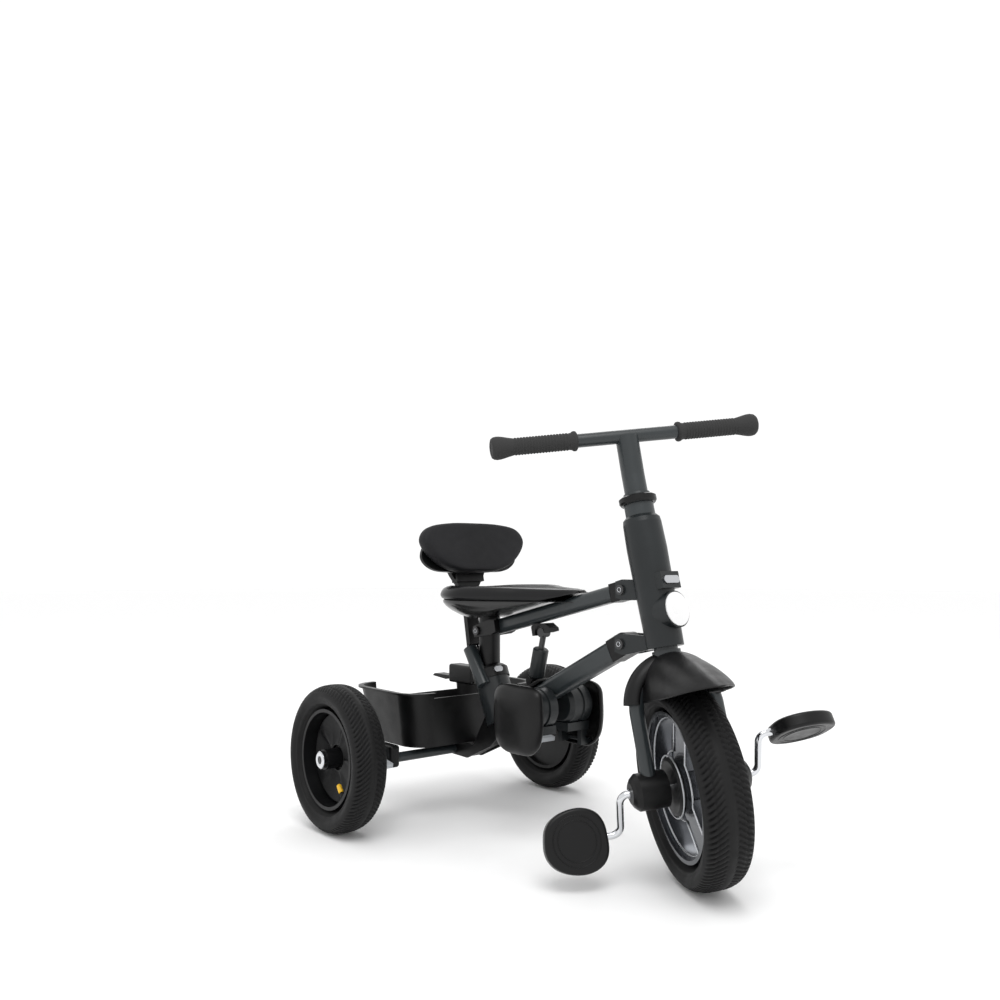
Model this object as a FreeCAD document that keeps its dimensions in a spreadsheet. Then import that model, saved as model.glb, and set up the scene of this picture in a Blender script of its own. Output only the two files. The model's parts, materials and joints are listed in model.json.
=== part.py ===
import FreeCAD, Part
import math
import os
import Sketcher
from FreeCAD import Placement, Rotation, Vector

# Children's tricycle with two rear wheels, a pedal-driven front wheel and a twin-bar folding frame.
# Frame of reference: +X forward, +Y to the rider's left, +Z up, millimetres.  Places are worked out
# from the point on the floor under the middle of the rear axle and then moved back by
# origin_ahead_of_rear_axle, so that the origin is the middle of the whole tricycle's footprint.

SIZES = {
    # Whole vehicle
    "origin_ahead_of_rear_axle": (253.0, "footprint middle, ahead of the rear axle"),
    "rear_track": (442.2, "distance between the rear tyres' middle planes"),
    "fork_foot_ahead": (501.3, "foot of the steering axis, ahead of the rear axle"),
    "fork_foot_height": (128.9, "foot of the steering axis, above the floor"),
    "steering_tilt": (13.1, "lean of the steering axis, degrees"),
    "steering_turn": (-30.1, "turn of the fork in the parked pose, degrees, left positive"),
    # Rear wheels
    "rear_tyre_radius": (110.1, "rear tyre, outer radius"),
    "rear_tyre_width": (55.5, "rear tyre, width"),
    "rear_rim_radius": (74.5, "rear rim, tyre seat radius"),
    "rear_rim_width": (39.0, "rear rim, width at the tyre seat"),
    "rear_hub_radius": (15.0, "rear hub barrel"),
    "rear_hub_length": (44.0, "rear hub barrel length"),
    "rim_wall": (5.0, "wall of each rim's outer ring"),
    "rim_web": (6.0, "thickness of each rim's web"),
    "rear_axle_radius": (5.0, "rear stub axle"),
    "running_gap": (0.05, "radial clearance of a running fit"),
    "axle_cap_radius": (13.0, "chrome cap on the axle end"),
    "axle_cap_thickness": (5.0, "chrome cap thickness"),
    # Rear beam
    "beam_radius": (7.5, "rear beam tube"),
    "beam_ahead": (25.0, "rear beam, ahead of the axle"),
    "beam_height": (102.0, "rear beam above the floor"),
    "clamp_inner": (132.0, "inner face of each axle clamp, from the middle"),
    "clamp_thickness": (18.0, "axle clamp thickness"),
    "clamp_length": (56.0, "axle clamp length"),
    "clamp_depth": (34.0, "axle clamp height"),
    "brake_width": (36.0, "foot brake pedal, width"),
    "brake_length": (50.0, "foot brake pedal, length ahead of the axle"),
    "brake_thickness": (7.0, "foot brake pedal, thickness"),
    # Rear column
    "column_foot_ahead": (134.0, "foot of the column axis, ahead of the rear axle"),
    "column_foot_height": (158.0, "foot of the column axis above the floor"),
    "column_tilt": (25.0, "lean of the column, degrees"),
    "column_radius": (27.0, "column collar"),
    "column_length": (68.0, "column collar length"),
    "column_cap_radius": (29.0, "cap ring on the column"),
    "column_cap_length": (20.0, "cap ring length"),
    "column_button_length": (15.0, "release button, long side"),
    "column_button_width": (9.0, "release button, short side"),
    "button_travel": (3.0, "how far a release button pushes in"),
    "seat_post_radius": (17.0, "seat post"),
    "seat_post_ahead": (98.0, "seat post axis, ahead of the rear axle"),
    "seat_post_top": (331.0, "top of the seat post"),
    "handle_socket_radius": (11.0, "push handle socket, outside"),
    "handle_bore_radius": (8.0, "push handle socket, bore"),
    "handle_socket_length": (66.0, "push handle socket length"),
    "handle_bore_depth": (45.0, "push handle bore depth"),
    "handle_socket_tilt": (34.0, "lean of the push handle socket, degrees"),
    "handle_socket_aside": (26.0, "push handle socket axis, to the right of the middle"),
    # Folding bars
    "rear_upper_pivot_ahead": (92.0, "upper bar's rear pivot, ahead of the rear axle"),
    "rear_upper_pivot_height": (298.0, "upper bar's rear pivot above the floor"),
    "rear_lower_pivot_ahead": (165.0, "lower bar's rear pivot, ahead of the rear axle"),
    "rear_lower_pivot_height": (178.6, "lower bar's rear pivot above the floor"),
    "front_upper_pivot_ahead": (399.6, "upper bar's front pivot, ahead of the rear axle"),
    "front_upper_pivot_height": (370.1, "upper bar's front pivot above the floor"),
    "front_lower_pivot_ahead": (397.4, "lower bar's front pivot, ahead of the rear axle"),
    "front_lower_pivot_height": (297.1, "lower bar's front pivot above the floor"),
    "bar_width": (24.0, "frame bar, side to side"),
    "upper_bar_depth": (23.0, "upper bar, top to bottom"),
    "lower_bar_depth": (31.0, "lower bar, top to bottom"),
    "lower_bar_rear_depth": (18.0, "lower bar's rear pivot eye, top to bottom"),
    "bar_corner": (8.0, "frame bar corner radius"),
    "ear_thickness": (4.0, "pivot ear thickness"),
    "ear_radius": (13.0, "pivot ear radius"),
    "pivot_radius": (4.0, "pivot bolt shank"),
    "open_pivot_gap": (1.2, "radial clearance of the pivot where the linkage is opened"),
    "side_gap": (0.5, "clearance between a moving ear and its neighbour"),
    "bolt_head_radius": (7.0, "pivot bolt head"),
    "bolt_head_thickness": (3.0, "pivot bolt head thickness"),
    # Strut
    "strut_sleeve_radius": (12.0, "strut sleeve"),
    "strut_sleeve_length": (50.0, "strut sleeve length"),
    "strut_rod_radius": (4.5, "strut rod"),
    "strut_rod_overlap": (28.0, "length of the strut rod inside its sleeve"),
    "strut_foot_along": (62.0, "strut foot, along the lower bar from its rear pivot"),
    # Footrests
    "footrest_hub_radius": (29.0, "footrest hub drum"),
    "footrest_hub_ahead": (248.0, "footrest hub, ahead of the rear axle"),
    "footrest_hub_height": (196.0, "footrest hub above the floor"),
    "footrest_hub_reach": (56.0, "outer face of each footrest hub, from the middle"),
    "footrest_length": (94.0, "footrest, along the tricycle"),
    "footrest_height": (98.0, "footrest, hinge to free edge"),
    "footrest_thickness": (20.0, "footrest rim depth"),
    "footrest_wall": (3.5, "footrest plate thickness"),
    # Seat
    "seat_rear": (68.0, "rear edge of the seat, ahead of the rear axle"),
    "seat_length": (246.0, "seat length"),
    "seat_half_width": (102.0, "widest half of the seat"),
    "seat_top": (372.0, "top of the seat"),
    "seat_pad_thickness": (22.0, "seat pad thickness"),
    "seat_shell_thickness": (18.0, "seat shell thickness"),
    # Push handle lock
    "lock_block_length": (64.0, "lock block, front to back, before it meets the backrest post"),
    # Backrest
    "backrest_lean": (12.0, "lean of the backrest pad, degrees"),
    "backrest_width": (208.0, "backrest pad width"),
    "backrest_height": (82.0, "backrest pad height"),
    "backrest_thickness": (24.0, "backrest pad thickness"),
    "backrest_middle_height": (431.0, "middle of the backrest pad above the floor"),
    "backrest_ahead": (56.0, "middle of the backrest pad, ahead of the rear axle"),
    "post_thickness": (9.0, "backrest post panel, front to back"),
    "post_foot_half_width": (12.0, "backrest post, half width at the foot"),
    "post_top_half_width": (46.0, "backrest post, half width at the top"),
    # Basket
    "basket_length": (176.0, "basket, along the tricycle"),
    "basket_width": (262.0, "basket, side to side"),
    "basket_floor": (116.0, "underside of the basket"),
    "basket_top": (203.0, "rim of the basket"),
    "basket_wall": (3.0, "basket wall"),
    "basket_corner": (40.0, "basket corner radius"),
    "basket_rear_dip": (26.0, "how far the basket's rear wall drops below its rim"),
    "basket_front_dip": (9.0, "how far the basket's front wall drops below its rim"),
    "basket_front": (68.0, "front of the basket, ahead of the rear axle"),
    # Steering head, measured along the steering axis from its foot
    "head_bottom": (172.0, "underside of the head cover"),
    "fork_sweep_radius": (95.0, "room kept under the head cover for the turning fork"),
    "head_seam": (303.6, "joint between head cover and head cap"),
    "head_top": (348.8, "top of the head cap"),
    "head_bottom_radius": (24.5, "head cover radius at the bottom"),
    "head_seam_radius": (27.0, "head cover radius at the joint"),
    "head_top_radius": (25.0, "head cap radius at the top"),
    "head_boss_radius": (24.0, "round boss on the front of the head"),
    "head_boss_reach": (31.0, "front of the boss, ahead of the steering axis"),
    "badge_height": (217.0, "badge centre along the steering axis"),
    "badge_radius": (22.0, "badge radius"),
    "badge_thickness": (1.6, "badge thickness"),
    "switch_height": (256.0, "release switch centre along the steering axis"),
    "switch_length": (30.0, "release switch, side to side"),
    "switch_width": (10.0, "release switch, height"),
    "steerer_radius": (15.75, "steerer tube and stem"),
    "neck_radius": (20.0, "neck above the head cap"),
    "lock_ring_radius": (25.5, "locking ring on the neck"),
    "lock_ring_bottom": (366.0, "underside of the locking ring"),
    "lock_ring_top": (377.0, "top of the locking ring"),
    # Handlebar
    "handlebar_height": (462.6, "handlebar centre along the steering axis"),
    "handlebar_offset": (4.0, "handlebar ahead of the steering axis"),
    "handlebar_span": (356.0, "distance between the grip end centres"),
    "handlebar_radius": (9.5, "handlebar tube"),
    "grip_radius": (11.6, "grip sleeve"),
    "grip_flange_radius": (15.0, "inner flange of the grip"),
    "grip_length": (106.0, "grip length to the end bulb centre"),
    "grip_bulb_radius": (16.2, "grip end bulb"),
    # Fork and fender
    "fork_half_gap": (54.0, "fork leg centre from the middle plane"),
    "fork_leg_radius": (9.5, "fork leg tube"),
    "fork_top": (141.0, "centre line of the fork crown"),
    "fork_bend": (48.0, "bend radius of the fork crown"),
    "fender_half_width": (37.0, "fender, outside half width"),
    "fender_wall": (2.6, "fender wall"),
    "fender_dome_radius": (46.0, "fender, radius of its domed cross-section"),
    "fender_wing_half_width": (70.0, "fender, half width over the fork crown"),
    "fender_crown": (166.0, "top of the fender"),
    "fender_nose_reach": (160.0, "fender nose ahead of the steering axis"),
    "fender_nose_height": (109.0, "underside of the fender nose"),
    "fender_tail_reach": (92.0, "fender tail behind the steering axis"),
    # Front wheel
    "front_axle_offset": (-5.9, "front axle ahead of the steering axis"),
    "front_tyre_radius": (127.0, "front tyre, outer radius"),
    "front_tyre_width": (61.6, "front tyre, width"),
    "front_rim_radius": (93.5, "front rim, tyre seat radius"),
    "front_rim_width": (44.2, "front rim, width at the tyre seat"),
    "front_hub_radius": (36.0, "front hub disc"),
    "front_hub_length": (46.0, "front hub length"),
    "front_spoke_width": (34.0, "front spoke width"),
    "front_axle_radius": (5.5, "crank axle"),
    "hub_cover_radius": (23.0, "hub cover on the fork leg"),
    "hub_cover_inner": (33.0, "inner face of the hub cover, from the middle plane"),
    "hub_cover_outer": (79.0, "outer face of the hub cover, from the middle plane"),
    # Cranks and pedals
    "crank_length": (54.0, "crank arm, axle to pedal spindle"),
    "crank_angle": (-118.0, "near crank direction from straight ahead, degrees, up positive"),
    "crank_reach": (93.0, "crank arm, from the middle plane"),
    "crank_radius": (4.6, "crank rod"),
    "crank_bend": (11.0, "bend radius of the crank rod"),
    "pedal_radius": (41.0, "pedal disc, along the spindle"),
    "pedal_thickness": (18.0, "pedal thickness"),
    "pedal_reach": (152.0, "pedal centre from the middle plane"),
    "near_pedal_pitch": (-83.0, "pitch of the right pedal, degrees, nose up positive"),
    "far_pedal_pitch": (17.0, "pitch of the left pedal, degrees, nose up positive"),
}


class Size:
    """A length or angle that knows its spreadsheet expression and its value."""

    def __init__(self, text, value):
        self.text = text
        self.value = value

    def _with(self, other, sign, value):
        """Join this size and another size or number into a new size."""
        return Size("(%s %s %s)" % (self.text, sign, as_size(other).text), value)

    def __add__(self, other):
        return self._with(other, "+", self.value + as_size(other).value)

    def __sub__(self, other):
        return self._with(other, "-", self.value - as_size(other).value)

    def __mul__(self, other):
        return self._with(other, "*", self.value * as_size(other).value)

    def __truediv__(self, other):
        return self._with(other, "/", self.value / as_size(other).value)

    def __neg__(self):
        return Size("(-1 * %s)" % self.text, -self.value)

    def __float__(self):
        return float(self.value)


def as_size(quantity):
    """Return a size unchanged and wrap a plain number."""
    if isinstance(quantity, Size):
        return quantity
    return Size("%.6f" % quantity, float(quantity))


class SizeTable:
    """The document's spreadsheet, with one attribute for each named size."""

    def __init__(self, document, sizes):
        self.sheet = document.addObject("Spreadsheet::Sheet", "Sizes")
        for row, (name, (value, meaning)) in enumerate(sizes.items(), start=1):
            self.sheet.set("A%d" % row, name)
            self.sheet.set("B%d" % row, "%g" % value)
            self.sheet.setAlias("B%d" % row, name)
            self.sheet.set("C%d" % row, meaning)
            setattr(self, name, Size("Sizes.%s" % name, value))


doc = FreeCAD.newDocument("ChildrensTricycle")
s = SizeTable(doc, SIZES)
doc.recompute()

NODES = []
RIGHT, LEFT = -1, 1
SIDES = ((RIGHT, "right"), (LEFT, "left"))
ALONG_LEFT = Rotation(Vector(1, 0, 0), -90)
ALONG_AHEAD = Rotation(Vector(0, 1, 0), 90)


# ---------------------------------------------------------------- places

def at(ahead, left, height, rotation=Rotation()):
    """Place a piece by its distances from the floor point under the rear axle."""
    x = float(ahead) - float(s.origin_ahead_of_rear_axle)
    return Placement(Vector(x, float(left), float(height)), rotation)


def steering(local=Placement()):
    """Place a piece in the turned steering frame: z up the steering axis, x ahead, y left."""
    return head_frame(Placement(Vector(), Rotation(Vector(0, 0, 1), float(s.steering_turn))).multiply(local))


def head_frame(local=Placement()):
    """Place a piece in the unturned steering head frame."""
    lean = Rotation(Vector(0, 1, 0), -float(s.steering_tilt))
    return at(s.fork_foot_ahead, 0, s.fork_foot_height, lean).multiply(local)


def column_frame(local=Placement()):
    """Place a piece on the leaning rear column: z up its axis."""
    lean = Rotation(Vector(0, 1, 0), -float(s.column_tilt))
    return at(s.column_foot_ahead, 0, s.column_foot_height, lean).multiply(local)


def wheel_frame(local=Placement()):
    """Place a piece at the front wheel centre: z along the axle to the left, x ahead, -y up."""
    centre = Placement(Vector(float(s.front_axle_offset), 0, 0), ALONG_LEFT)
    return steering(centre.multiply(local))


def shift(x=0.0, y=0.0, z=0.0, rotation=Rotation()):
    """A plain local move, with an optional rotation."""
    return Placement(Vector(float(x), float(y), float(z)), rotation)


# ---------------------------------------------------------------- features

def bind(feature, **sizes):
    """Bind each named property of a feature to a size."""
    for name, size in sizes.items():
        feature.setExpression(name, as_size(size).text)
    return feature


def keep(feature, label, place=None):
    """Name a finished sub-part, place it and add it to the list that is written out."""
    feature.Label = label
    if place is not None:
        feature.Placement = place
    NODES.append(feature)
    return feature


def cylinder(name, radius, length, place=Placement()):
    """A cylinder along its own z."""
    feature = doc.addObject("Part::Cylinder", name)
    bind(feature, Radius=radius, Height=length)
    feature.Placement = place
    return feature


def block(name, length, width, height, place=Placement()):
    """A box whose middle of the base is the local origin."""
    feature = doc.addObject("Part::Box", name)
    bind(feature, Length=length, Width=width, Height=height)
    feature.Placement = place.multiply(shift(-float(length) / 2, -float(width) / 2, 0))
    return feature


def cut(name, base, tool):
    """Base without tool."""
    feature = doc.addObject("Part::Cut", name)
    feature.Base = base
    feature.Tool = tool
    return feature


def fuse(name, pieces):
    """Several touching pieces as one."""
    feature = doc.addObject("Part::MultiFuse", name)
    feature.Shapes = pieces
    feature.Refine = True
    return feature


def group(name, pieces):
    """Several separate solids kept together in one node."""
    feature = doc.addObject("Part::Compound", name)
    feature.Links = pieces
    return feature


def rounded(name, base, radius, edges=None):
    """Round the chosen edges of a feature, or all of them."""
    doc.recompute()
    feature = doc.addObject("Part::Fillet", name)
    feature.Base = base
    chosen = edges if edges else range(1, len(base.Shape.Edges) + 1)
    feature.Edges = [(edge, float(radius), float(radius)) for edge in chosen]
    return feature


def drawn_outline(body, name, corners):
    """A closed sketch on the body's XZ plane whose corners are bound to the sizes."""
    sketch = body.newObject("Sketcher::SketchObject", name)
    plane = [item for item in body.Origin.OriginFeatures if item.Role == "XZ_Plane"][0]
    sketch.AttachmentSupport = [(plane, "")]
    sketch.MapMode = "FlatFace"
    points = [Vector(float(across), float(up), 0) for across, up in corners]
    count = len(corners)
    for index in range(count):
        sketch.addGeometry(Part.LineSegment(points[index], points[(index + 1) % count]), False)
    for index in range(count):
        sketch.addConstraint(Sketcher.Constraint("Coincident", index, 2, (index + 1) % count, 1))
    for index, (across, up) in enumerate(corners):
        for kind, size in (("DistanceX", across), ("DistanceY", up)):
            row = sketch.addConstraint(Sketcher.Constraint(kind, -1, 1, index, 1, float(size)))
            sketch.setExpression("Constraints[%d]" % row, as_size(size).text)
    return sketch


def turned(name, profile):
    """A body turned about its own z from a closed (radius, height) outline."""
    body = doc.addObject("PartDesign::Body", name)
    sketch = drawn_outline(body, name + "Profile", profile)
    feature = body.newObject("PartDesign::Revolution", name + "Turned")
    feature.Profile = sketch
    feature.ReferenceAxis = (sketch, ["V_Axis"])
    feature.Angle = 360
    return body


def slab(name, outline, width):
    """A body with an (x, z) outline and a width, centred on y = 0."""
    body = doc.addObject("PartDesign::Body", name)
    sketch = drawn_outline(body, name + "Outline", outline)
    feature = body.newObject("PartDesign::Pad", name + "Pad")
    feature.Profile = sketch
    feature.Midplane = True
    bind(feature, Length=width)
    return body


def shape_feature(name, shape, place=Placement()):
    """A piece whose shape is worked out by Part's own functions."""
    feature = doc.addObject("Part::Feature", name)
    feature.Shape = shape
    feature.Placement = place
    return feature


def rod_along(points, radius, bend):
    """A round rod through the points, with an arc of the bend radius at each inner point."""
    edges = []
    start = points[0]
    for before, corner, after in zip(points, points[1:], points[2:]):
        into = (corner - before).normalize()
        out = (after - corner).normalize()
        half_turn = into.getAngle(out) / 2
        setback = bend * math.tan(half_turn)
        first = corner - into * setback
        last = corner + out * setback
        inward = (out - into).normalize()
        middle = corner + inward * (bend / math.cos(half_turn) - bend)
        edges.append(Part.LineSegment(start, first).toShape())
        edges.append(Part.Arc(first, middle, last).toShape())
        start = last
    edges.append(Part.LineSegment(start, points[-1]).toShape())
    path = Part.Wire(edges)
    direction = points[1] - points[0]
    section = Part.Wire([Part.makeCircle(radius, points[0], direction)])
    return path.makePipeShell([section], True, False)


def smooth_prism(points, thickness):
    """A plate whose edge is a smooth closed curve through (x, y) points."""
    curve = Part.BSplineCurve()
    curve.interpolate([Vector(x, y, 0) for x, y in points], PeriodicFlag=True)
    face = Part.Face(Part.Wire([curve.toShape()]))
    return face.extrude(Vector(0, 0, thickness))


# ---------------------------------------------------------------- rear wheels

def wheel_tyre(name, radius, width, seat_radius, seat_width):
    """A tyre section: bead, bulging wall, shoulder and crown."""
    bead = seat_width / 2
    side = width / 2
    return turned(name, [
        (seat_radius, -bead),
        (seat_radius + 9, -side),
        (radius - 17, -side),
        (radius - 6, -side + 6),
        (radius, -side + 17),
        (radius, side - 17),
        (radius - 6, side - 6),
        (radius - 17, side),
        (seat_radius + 9, side),
        (seat_radius, bead),
    ])


def rear_wheel(side, side_name):
    """Tyre and dished rim of one rear wheel."""
    place = at(0, s.rear_track / 2 * side, s.rear_tyre_radius, ALONG_LEFT)
    tyre = wheel_tyre("RearTyre", s.rear_tyre_radius, s.rear_tyre_width,
                      s.rear_rim_radius, s.rear_rim_width)
    keep(tyre, "rear_tyre_" + side_name, place)
    bore = s.rear_axle_radius + s.running_gap
    hub = s.rear_hub_length / 2
    edge = s.rear_rim_width / 2
    ring = s.rear_rim_radius - s.rim_wall
    web_outer = -s.rim_web
    web_inner = -s.rim_web * 2
    outward = Rotation() if side == LEFT else Rotation(Vector(1, 0, 0), 180)
    rim = turned("RearRim", [
        (bore, -hub), (s.rear_hub_radius, -hub), (s.rear_hub_radius, web_inner), (ring, web_inner),
        (ring, -edge), (s.rear_rim_radius, -edge), (s.rear_rim_radius, edge), (ring, edge),
        (ring, web_outer), (s.rear_hub_radius, web_outer), (s.rear_hub_radius, hub), (bore, hub),
    ])
    keep(rim, "rear_rim_" + side_name, place.multiply(shift(rotation=outward)))


# ---------------------------------------------------------------- rear beam and brakes

def rear_beam():
    """The tube between the clamps, the clamps, the stub axles and their chrome caps."""
    beam = cylinder("Beam", s.beam_radius, s.clamp_inner * 2)
    keep(beam, "rear_beam", at(s.beam_ahead, -s.clamp_inner, s.beam_height, ALONG_LEFT))
    clamps = []
    axles = []
    caps = []
    clamp_middle = float(s.clamp_inner + s.clamp_thickness / 2)
    clamp_outer = s.clamp_inner + s.clamp_thickness
    axle_end = s.rear_track / 2 + s.rear_hub_length / 2 + 1
    for side, side_name in SIDES:
        clamp = block("Clamp", s.clamp_length, s.clamp_thickness, s.clamp_depth,
                      at(13, clamp_middle * side, 90))
        clamps.append(rounded("ClampRounded", clamp, 5.0))
        start = clamp_outer if side == LEFT else -axle_end
        axles.append(cylinder("StubAxle", s.rear_axle_radius, axle_end - clamp_outer,
                              at(0, start, s.rear_tyre_radius, ALONG_LEFT)))
        cap_start = axle_end if side == LEFT else -axle_end - s.axle_cap_thickness
        caps.append(cylinder("AxleCap", s.axle_cap_radius, s.axle_cap_thickness,
                             at(0, cap_start, s.rear_tyre_radius, ALONG_LEFT)))
    keep(group("Clamps", clamps), "axle_clamps")
    keep(group("StubAxles", axles), "rear_stub_axles")
    keep(group("AxleCaps", caps), "rear_axle_caps")


def brake_pedal(side, side_name):
    """A foot brake: a flat pedal on a barrel that turns on the stub axle."""
    bore = s.rear_axle_radius + s.running_gap
    barrel_radius = s.rear_axle_radius + 5
    plate = block("BrakePlate", s.brake_length - 6, s.brake_width, s.brake_thickness,
                  shift(float(s.brake_length) / 2 + 3, 0, -13, Rotation(Vector(0, 1, 0), 10)))
    barrel = cylinder("BrakeBarrel", barrel_radius, s.brake_width,
                      shift(0, -s.brake_width / 2, 0, ALONG_LEFT))
    bore_tool = cylinder("BrakeBore", bore, s.brake_width * 2, shift(0, -s.brake_width, 0, ALONG_LEFT))
    lever = cut("BrakeLever", fuse("BrakeBody", [barrel, plate]), bore_tool)
    middle = float(s.clamp_inner + s.clamp_thickness + s.brake_width / 2 + s.side_gap) + 1
    keep(lever, "brake_pedal_" + side_name, at(0, middle * side, s.rear_tyre_radius))


# ---------------------------------------------------------------- column, seat post and brackets

def rear_column():
    """Leaning column collar with its cap ring, the release button and the seat post."""
    collar = cylinder("Collar", s.column_radius, s.column_length)
    keep(collar, "rear_column", column_frame())
    cap = turned("ColumnCap", [
        (0, s.column_length), (s.column_cap_radius, s.column_length),
        (s.column_cap_radius, s.column_length + s.column_cap_length - 5),
        (s.column_cap_radius - 5, s.column_length + s.column_cap_length),
        (0, s.column_length + s.column_cap_length),
    ])
    pocket = button_prism("ColumnButtonPocket", s.column_button_length + 0.6, s.column_button_width + 0.6, 20)
    pocket.Placement = column_button_place(float(s.column_cap_radius) - 12)
    post_hole = cylinder("PostHole", s.seat_post_radius, 200, seat_post_place())
    socket_hole = cylinder("SocketHole", s.handle_socket_radius + 0.01, s.handle_socket_length, socket_place())
    cap.Placement = column_frame()
    capped = cut("CapWithPocket", cap, fuse("CapTools", [pocket, post_hole, socket_hole]))
    keep(capped, "column_cap")
    button = button_prism("ColumnButton", s.column_button_length, s.column_button_width, 7)
    place = column_button_place(float(s.column_cap_radius) - 5.5)
    keep(button, "column_button", place)
    post = cylinder("SeatPost", s.seat_post_radius, s.seat_post_top - 226)
    bolt_hole = cylinder("PostBoltHole", s.pivot_radius, 80,
                         shift(rear_upper_pivot()[0] - float(s.seat_post_ahead), -40,
                               rear_upper_pivot()[1] - 226, ALONG_LEFT))
    keep(cut("SeatPostDrilled", post, bolt_hole), "seat_post", seat_post_place())


def seat_post_place():
    """Foot of the upright seat post, inside the column cap."""
    return at(s.seat_post_ahead, 0, 226)


def column_button_place(depth):
    """The release button's place on the front right of the cap ring."""
    height = float(s.column_length) + float(s.column_cap_length) / 2 - 1
    around = Rotation(Vector(0, 0, 1), -12)
    return column_frame(shift(0, 0, height, around).multiply(shift(depth, 0, 0, ALONG_AHEAD)))


def button_prism(name, length, width, depth):
    """A push button with round ends, its long side across."""
    radius = float(width) / 2
    reach = float(length) / 2 - radius
    straight = Part.makeBox(2 * radius, 2 * reach, depth, Vector(-radius, -reach, 0))
    ends = [Part.makeCylinder(radius, depth, Vector(0, reach * side, 0)) for side in (LEFT, RIGHT)]
    return shape_feature(name, straight.fuse(ends).removeSplitter())


def rear_upper_pivot():
    """Rear pivot of the upper bar: distance ahead of the rear axle and height."""
    return float(s.rear_upper_pivot_ahead), float(s.rear_upper_pivot_height)


def rear_lower_pivot():
    """Rear pivot of the lower bar: distance ahead of the rear axle and height."""
    return float(s.rear_lower_pivot_ahead), float(s.rear_lower_pivot_height)


def front_upper_pivot():
    """Front pivot of the upper bar."""
    return float(s.front_upper_pivot_ahead), float(s.front_upper_pivot_height)


def front_lower_pivot():
    """Front pivot of the lower bar."""
    return float(s.front_lower_pivot_ahead), float(s.front_lower_pivot_height)


def column_brackets():
    """The forked bracket that ties the beam, the column and the lower bar's rear pivot together."""
    pivot_x, pivot_z = rear_lower_pivot()
    inner = float(s.bar_width) / 2 + float(s.side_gap)
    thickness = s.ear_thickness
    plates = []
    for side, side_name in SIDES:
        plate = slab("BracketPlate", [
            (14, 93), (60, 92), (118, 118), (pivot_x + 12, pivot_z - 10), (pivot_x + 12, pivot_z + 8),
            (pivot_x - 2, pivot_z + 15), (120, 184), (76, 115.5), (12, 114),
        ], thickness)
        plate.Placement = at(0, (inner + float(thickness) / 2) * side, 0)
        holes = fuse("BracketHoles", [
            cylinder("BracketBeamHole", s.beam_radius, 60, at(s.beam_ahead, -30, s.beam_height, ALONG_LEFT)),
            cylinder("BracketPivotHole", s.pivot_radius + s.running_gap, 60,
                     at(pivot_x, -30, pivot_z, ALONG_LEFT)),
            cylinder("BracketColumnHole", s.column_radius, s.column_length * 2,
                     column_frame(shift(0, 0, 0))),
        ])
        plates.append(cut("BracketPlateCut", plate, holes))
    web = slab("BracketWeb", [
        (36, 94), (60, 93.5), (112, 119), (134, 152), (122, 158), (74, 115), (36, 112),
    ], inner * 2)
    web.Placement = at(0, 0, 0)
    column_room = cylinder("WebColumnRoom", s.column_radius, s.column_length * 2, column_frame())
    keep(fuse("ColumnBracket", plates + [cut("WebCut", web, column_room)]), "column_bracket")


def push_handle_socket():
    """The open tube behind the column that takes the push handle."""
    tube = cylinder("SocketTube", s.handle_socket_radius, s.handle_socket_length, socket_place())
    bore = cylinder("SocketBore", s.handle_bore_radius, s.handle_bore_depth + 5,
                    socket_place().multiply(shift(0, 0, s.handle_socket_length - s.handle_bore_depth)))
    collar_room = cylinder("CollarRoom", s.column_radius, s.column_length, column_frame())
    post_room = cylinder("PostRoom", s.seat_post_radius + 0.01, 200, seat_post_place())
    tools = fuse("SocketTools", [bore, collar_room, post_room])
    keep(cut("SocketCut", tube, tools), "push_handle_socket")


def socket_place():
    """Lower end of the push handle socket, beside the column."""
    lean = Rotation(Vector(0, 1, 0), -float(s.handle_socket_tilt))
    return at(117, -s.handle_socket_aside, 215, lean)


# ---------------------------------------------------------------- backrest

def backrest():
    """The panel-shaped post behind the seat, its bracket, and the pad with its backing shell."""
    foot, top = post_line()
    lean = Rotation(Vector(0, 1, 0), -math.degrees(math.atan2(foot[0] - top[0], top[1] - foot[1])))
    length = math.hypot(foot[0] - top[0], top[1] - foot[1])
    panel = doc.addObject("PartDesign::Body", "BackrestPost")
    sketch = drawn_outline(panel, "BackrestPostOutline", [
        (-s.post_foot_half_width, 0), (s.post_foot_half_width, 0), (s.post_foot_half_width, length * 0.71),
        (s.post_top_half_width * 0.72, length * 0.86), (s.post_top_half_width, length),
        (-s.post_top_half_width, length), (-s.post_top_half_width * 0.72, length * 0.86),
        (-s.post_foot_half_width, length * 0.71),
    ])
    pad_feature = panel.newObject("PartDesign::Pad", "BackrestPostPad")
    pad_feature.Profile = sketch
    bind(pad_feature, Length=s.post_thickness)
    turn = Rotation(Vector(0, 0, 1), 90)
    panel.Placement = at(foot[0], 0, foot[1], lean).multiply(shift(rotation=turn))
    rooms = [cylinder("PostColumnRoom", s.column_radius + 0.01, s.column_length * 2, column_frame()),
             cylinder("PostCapRoom", s.column_cap_radius + 0.01, s.column_cap_length,
                      column_frame(shift(0, 0, s.column_length)))]
    keep(cut("BackrestPostCut", panel, fuse("PostRooms", rooms)), "backrest_post")
    bracket = block("BackrestBracket", 15, 56, 40, backrest_place(shift(-26, 0, -52)))
    panel_room = cut("BracketPanelRoom", bracket, panel)
    keep(panel_room, "backrest_bracket")
    shell = smooth_prism(backrest_outline(0.94), 6.0)
    keep(shape_feature("BackrestShell", shell), "backrest_shell", backrest_place(shift(-18.1, 0, 0, FACE_UP)))
    pad = smooth_prism(backrest_outline(1.0), float(s.backrest_thickness))
    pad = pad.makeFillet(6.0, pad.Edges)
    keep(shape_feature("BackrestPad", pad), "backrest_pad", backrest_place(shift(-12, 0, 0, FACE_UP)))


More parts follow.
